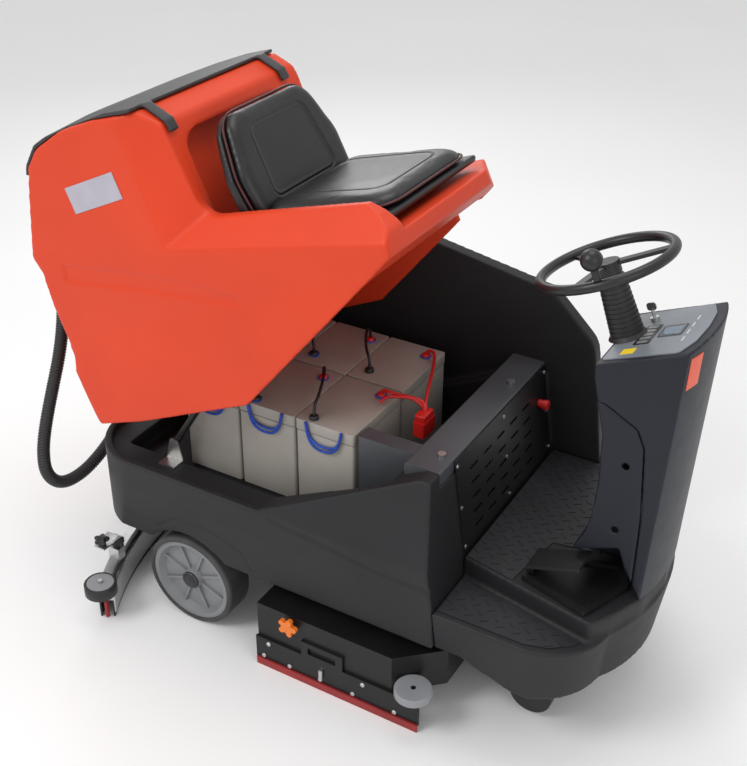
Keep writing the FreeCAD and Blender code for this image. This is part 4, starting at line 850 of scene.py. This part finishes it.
panel_patch("display", 121, 165, -25, 19, 4.02, 4.7, DISPLAY, 3.0)
panel_patch("display_frame", 112, 174, -36, 30, 3.02, 3.5, MATERIALS["black_plastic"], 6.0)
panel_patch("yellow_blank_label", 48, 82, -114, -84, 3.02, 3.4, YELLOW)
panel_patch("keypad", 62, 104, -66, 44, 3.02, 3.6, MATERIALS["black_plastic"], 5.0)
for index in range(5):
    panel_patch("key_mark_%d" % index, 70, 96, -60 + index * 21, -46 + index * 21, 3.62, 4.6,
                MATERIALS["hub_grey"], 3.0)
for index in range(4):
    panel_patch("white_mark_%d" % index, 184, 188, -72 + index * 40, -48 + index * 40, 3.02, 3.3, WHITE_INK,
                1.0)
console = bpy.data.objects["console_shell_moulding"]
film = label("orange_blank_label", console, at(905, -125, 1112), (-0.93, 0.36, 0), (0, 0, 1), 0.050, 0.085,
             ORANGE_FILM, 0.0008)
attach(film, "base")


# ------------------------------------------------------------------ small fittings
# Each turned profile is a list of (radius, height) in millimetres.
DECK_PLATE_Y = -444.0     # outer face of the deck's near side plate
BOLT = [(0, 4.2), (5, 4.2), (6.6, 3.2), (7.2, 1.6), (7.4, 0), (0, 0)]
BOLT_PLACES = [(-128, 34), (-40, 34), (62, 34), (168, 34), (300, 34), (-110, 84), (200, 84)]
for index, (x, z) in enumerate(BOLT_PLACES):
    bolt = turned_profile("deck_bolt_%d" % index, BOLT, at(x, DECK_PLATE_Y, z), (0, -1, 0),
                          MATERIALS["zinc_steel"],
                          18, 50)
    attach(bolt, "deck")
PIN = [(0, 30), (5, 30), (6.5, 28), (6.5, 0), (0, 0)]
pin = turned_profile("deck_spring_pin", PIN, at(66, -447.5, 44), (0, 0, 1), MATERIALS["zinc_steel"],
                     20, 50)
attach(pin, "deck")
WHEEL_X, HUB_FACE_Y, WHEEL_R = -420.0, 396.0, 150.0
CAP_DISC = [(0, 7), (18, 7), (25, 5), (28, 1), (28, -2), (0, -2)]
for side, tag in ((-1, "right"), (1, "left")):
    disc = turned_profile("hub_cap_" + tag, CAP_DISC, at(WHEEL_X, side * HUB_FACE_Y, WHEEL_R), (0, side, 0),
                          MATERIALS["black_plastic"], 40, 40)
    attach(disc, "rear_wheel_" + tag)
STAR = [(0, 17), (14, 17), (22, 14), (25, 8), (22, 2), (12, 0), (12, -12), (0, -12)]


def star_grip(name, centre, axis, body):
    """Hand knob with five soft lobes."""
    grip = turned_profile(name, STAR, centre, axis, MATERIALS["black_plastic"], 60, 50)
    way = Vector(axis).normalized()
    first = way.orthogonal().normalized()
    second = way.cross(first)
    for vertex in grip.data.vertices:
        arm = vertex.co - Vector(centre)
        flat = arm - way * arm.dot(way)
        turn = math.atan2(flat.dot(second), flat.dot(first))
        if flat.length > 0.013:
            vertex.co = Vector(centre) + way * arm.dot(way) + flat * (0.82 + 0.18 * math.cos(5 * turn))
    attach(grip, body)
    return grip


ROLLER_X, ROLLER_Y, ROLLER_FOOT = -650.0, 534.0, 104.0      # squeegee roller's pin and underside
TIP_Y, TIP_TOP, TIP_HALF = 515.0, 60.0, 4.0                  # red end of the squeegee's blade
ROLLER_BAND = [(40, 0.4), (46, 0.4), (48.4, 3), (48.4, 35), (46, 38.2), (40, 38.2), (40, 0.4)]
for side, tag in ((-1, "right"), (1, "left")):
    upright = [at(x, side * 372, z) for x, z in ((-728, 118), (-696, 118), (-696, 186), (-728, 186))]
    shelf = [at(x, side * y, 182) for x, y in ((-752, 376), (-696, 376), (-700, 452), (-740, 452))]
    plates = [prism("end_plate", upright, Vector((0, side * 0.004, 0)), MATERIALS["stainless"], 0.001),
              prism("end_plate", shelf, Vector((0, 0, 0.004)), MATERIALS["stainless"], 0.001)]
    bracket = joined("squeegee_bracket_" + tag, plates)
    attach(bracket, "squeegee")
    star_grip("squeegee_grip_" + tag, at(-722, side * 436, 198), (0, 0, 1), "squeegee")
    corners = ((-TIP_HALF, 0), (TIP_HALF, 0), (TIP_HALF, TIP_TOP), (-TIP_HALF, TIP_TOP))
    tip = prism("squeegee_tip_" + tag, [at(ROLLER_X + x, side * TIP_Y, z) for x, z in corners],
                Vector((0, side * 0.012, 0)), MATERIALS["blade_red"], 0.001)
    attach(tip, "squeegee")
    tyre = turned_profile("squeegee_roller_tyre_" + tag, ROLLER_BAND,
                          at(ROLLER_X, side * ROLLER_Y, ROLLER_FOOT), (0, 0, 1), MATERIALS["black_rubber"],
                          56, 50)
    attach(tyre, "squeegee_roller_" + tag)
for index, (x, y) in enumerate(red_places[4:6]):
    route = [at(x, y, bat_top + 10), at(x + 6, y, bat_top + 26), at(x + 40, y - 10, bat_top + 27),
             at(140, -6, bat_top + 20), at(146 + 5 * index, -22, 712), at(146 + 5 * index, -24, 696)]
    lead = curve_piece("red_lead_%d" % index, route, 0.010, MATERIALS["connector_red"])
    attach(lead, "base")
boot = prism("connector_boot", [at(132, -54, 699), at(164, -54, 699), at(164, 2, 699), at(132, 2, 699)],
             Vector((0, 0, 0.022)), MATERIALS["connector_red"], 0.004)
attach(boot, "base")
for index, (x, y) in enumerate(red_places[1:] + black_places[2:4]):
    ring = [at(x + 15 * math.cos(a), y + 15 * math.sin(a), bat_top + 3.5 + 2 * math.sin(2 * a))
            for a in [2 * math.pi * k / 12 for k in range(12)]]
    tie = curve_piece("rope_tie_%d" % index, ring, 0.0045, MATERIALS["rope_blue"], cyclic=True,
                      sides=3)
    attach(tie, "base")


# ------------------------------------------------------------------ floor, lights and camera
def area_light(name, place, target, size, power, colour=(1, 1, 1)):
    lamp = bpy.data.lights.new(name, "AREA")
    lamp.shape = "DISK"
    lamp.size = size
    lamp.energy = power
    lamp.color = colour
    obj = bpy.data.objects.new(name, lamp)
    bpy.context.scene.collection.objects.link(obj)
    obj.location = place
    obj.rotation_euler = (Vector(target) - Vector(place)).to_track_quat("-Z", "Y").to_euler()
    return obj


floor_bm = bmesh.new()
bmesh.ops.create_grid(floor_bm, x_segments=8, y_segments=8, size=14.0)
floor_material, floor_tree, floor_shader = new_material("pale_floor")
floor_noise = noise(floor_tree, 0.6, 2.0).outputs["Fac"]
floor_tone = ramp(floor_tree, floor_noise, (0.90, 0.90, 0.90), (0.93, 0.93, 0.93))
floor_tree.links.new(floor_tone.outputs["Color"], floor_shader.inputs["Base Color"])
floor_shader.inputs["Roughness"].default_value = 0.9
floor = link("floor", mesh_from(floor_bm, "floor"), floor_material)
floor.location = (0, 0, -0.001)

world = bpy.data.worlds.new("studio")
bpy.context.scene.world = world
world.use_nodes = True
world.node_tree.nodes["Background"].inputs["Color"].default_value = (1.0, 1.0, 1.0, 1.0)
world.node_tree.nodes["Background"].inputs["Strength"].default_value = 0.72
area_light("key", (-1.6, -3.4, 4.2), (0, 0, 0.6), 2.0, 85)
area_light("fill", (3.6, -2.4, 2.6), (0, 0, 0.6), 2.5, 22)
area_light("top", (0.2, 0.6, 4.6), (0, 0, 0.6), 2.4, 38)
area_light("rim", (-2.6, 3.2, 2.8), (0, 0, 0.9), 1.8, 26)

CAMERA_AZ = math.radians(30.7)
CAMERA_EL = math.radians(30.5)
camera_data = bpy.data.cameras.new("camera")
camera_data.sensor_fit = "VERTICAL"
camera_data.sensor_width = 36.0
camera_data.sensor_height = 36.0
camera_data.lens = 56.73
camera_data.shift_x = 0.0100
camera_data.shift_y = -0.0160
camera_data.clip_end = 60.0
camera = bpy.data.objects.new("camera", camera_data)
bpy.context.scene.collection.objects.link(camera)
camera.location = at(1433.8, -2504.5, 2492.8)
back = Vector((math.sin(CAMERA_AZ) * math.cos(CAMERA_EL), -math.cos(CAMERA_AZ) * math.cos(CAMERA_EL),
               math.sin(CAMERA_EL)))
camera.rotation_euler = (-back).to_track_quat("-Z", "Y").to_euler()
bpy.context.scene.camera = camera
bpy.context.scene.view_settings.view_transform = "Standard"
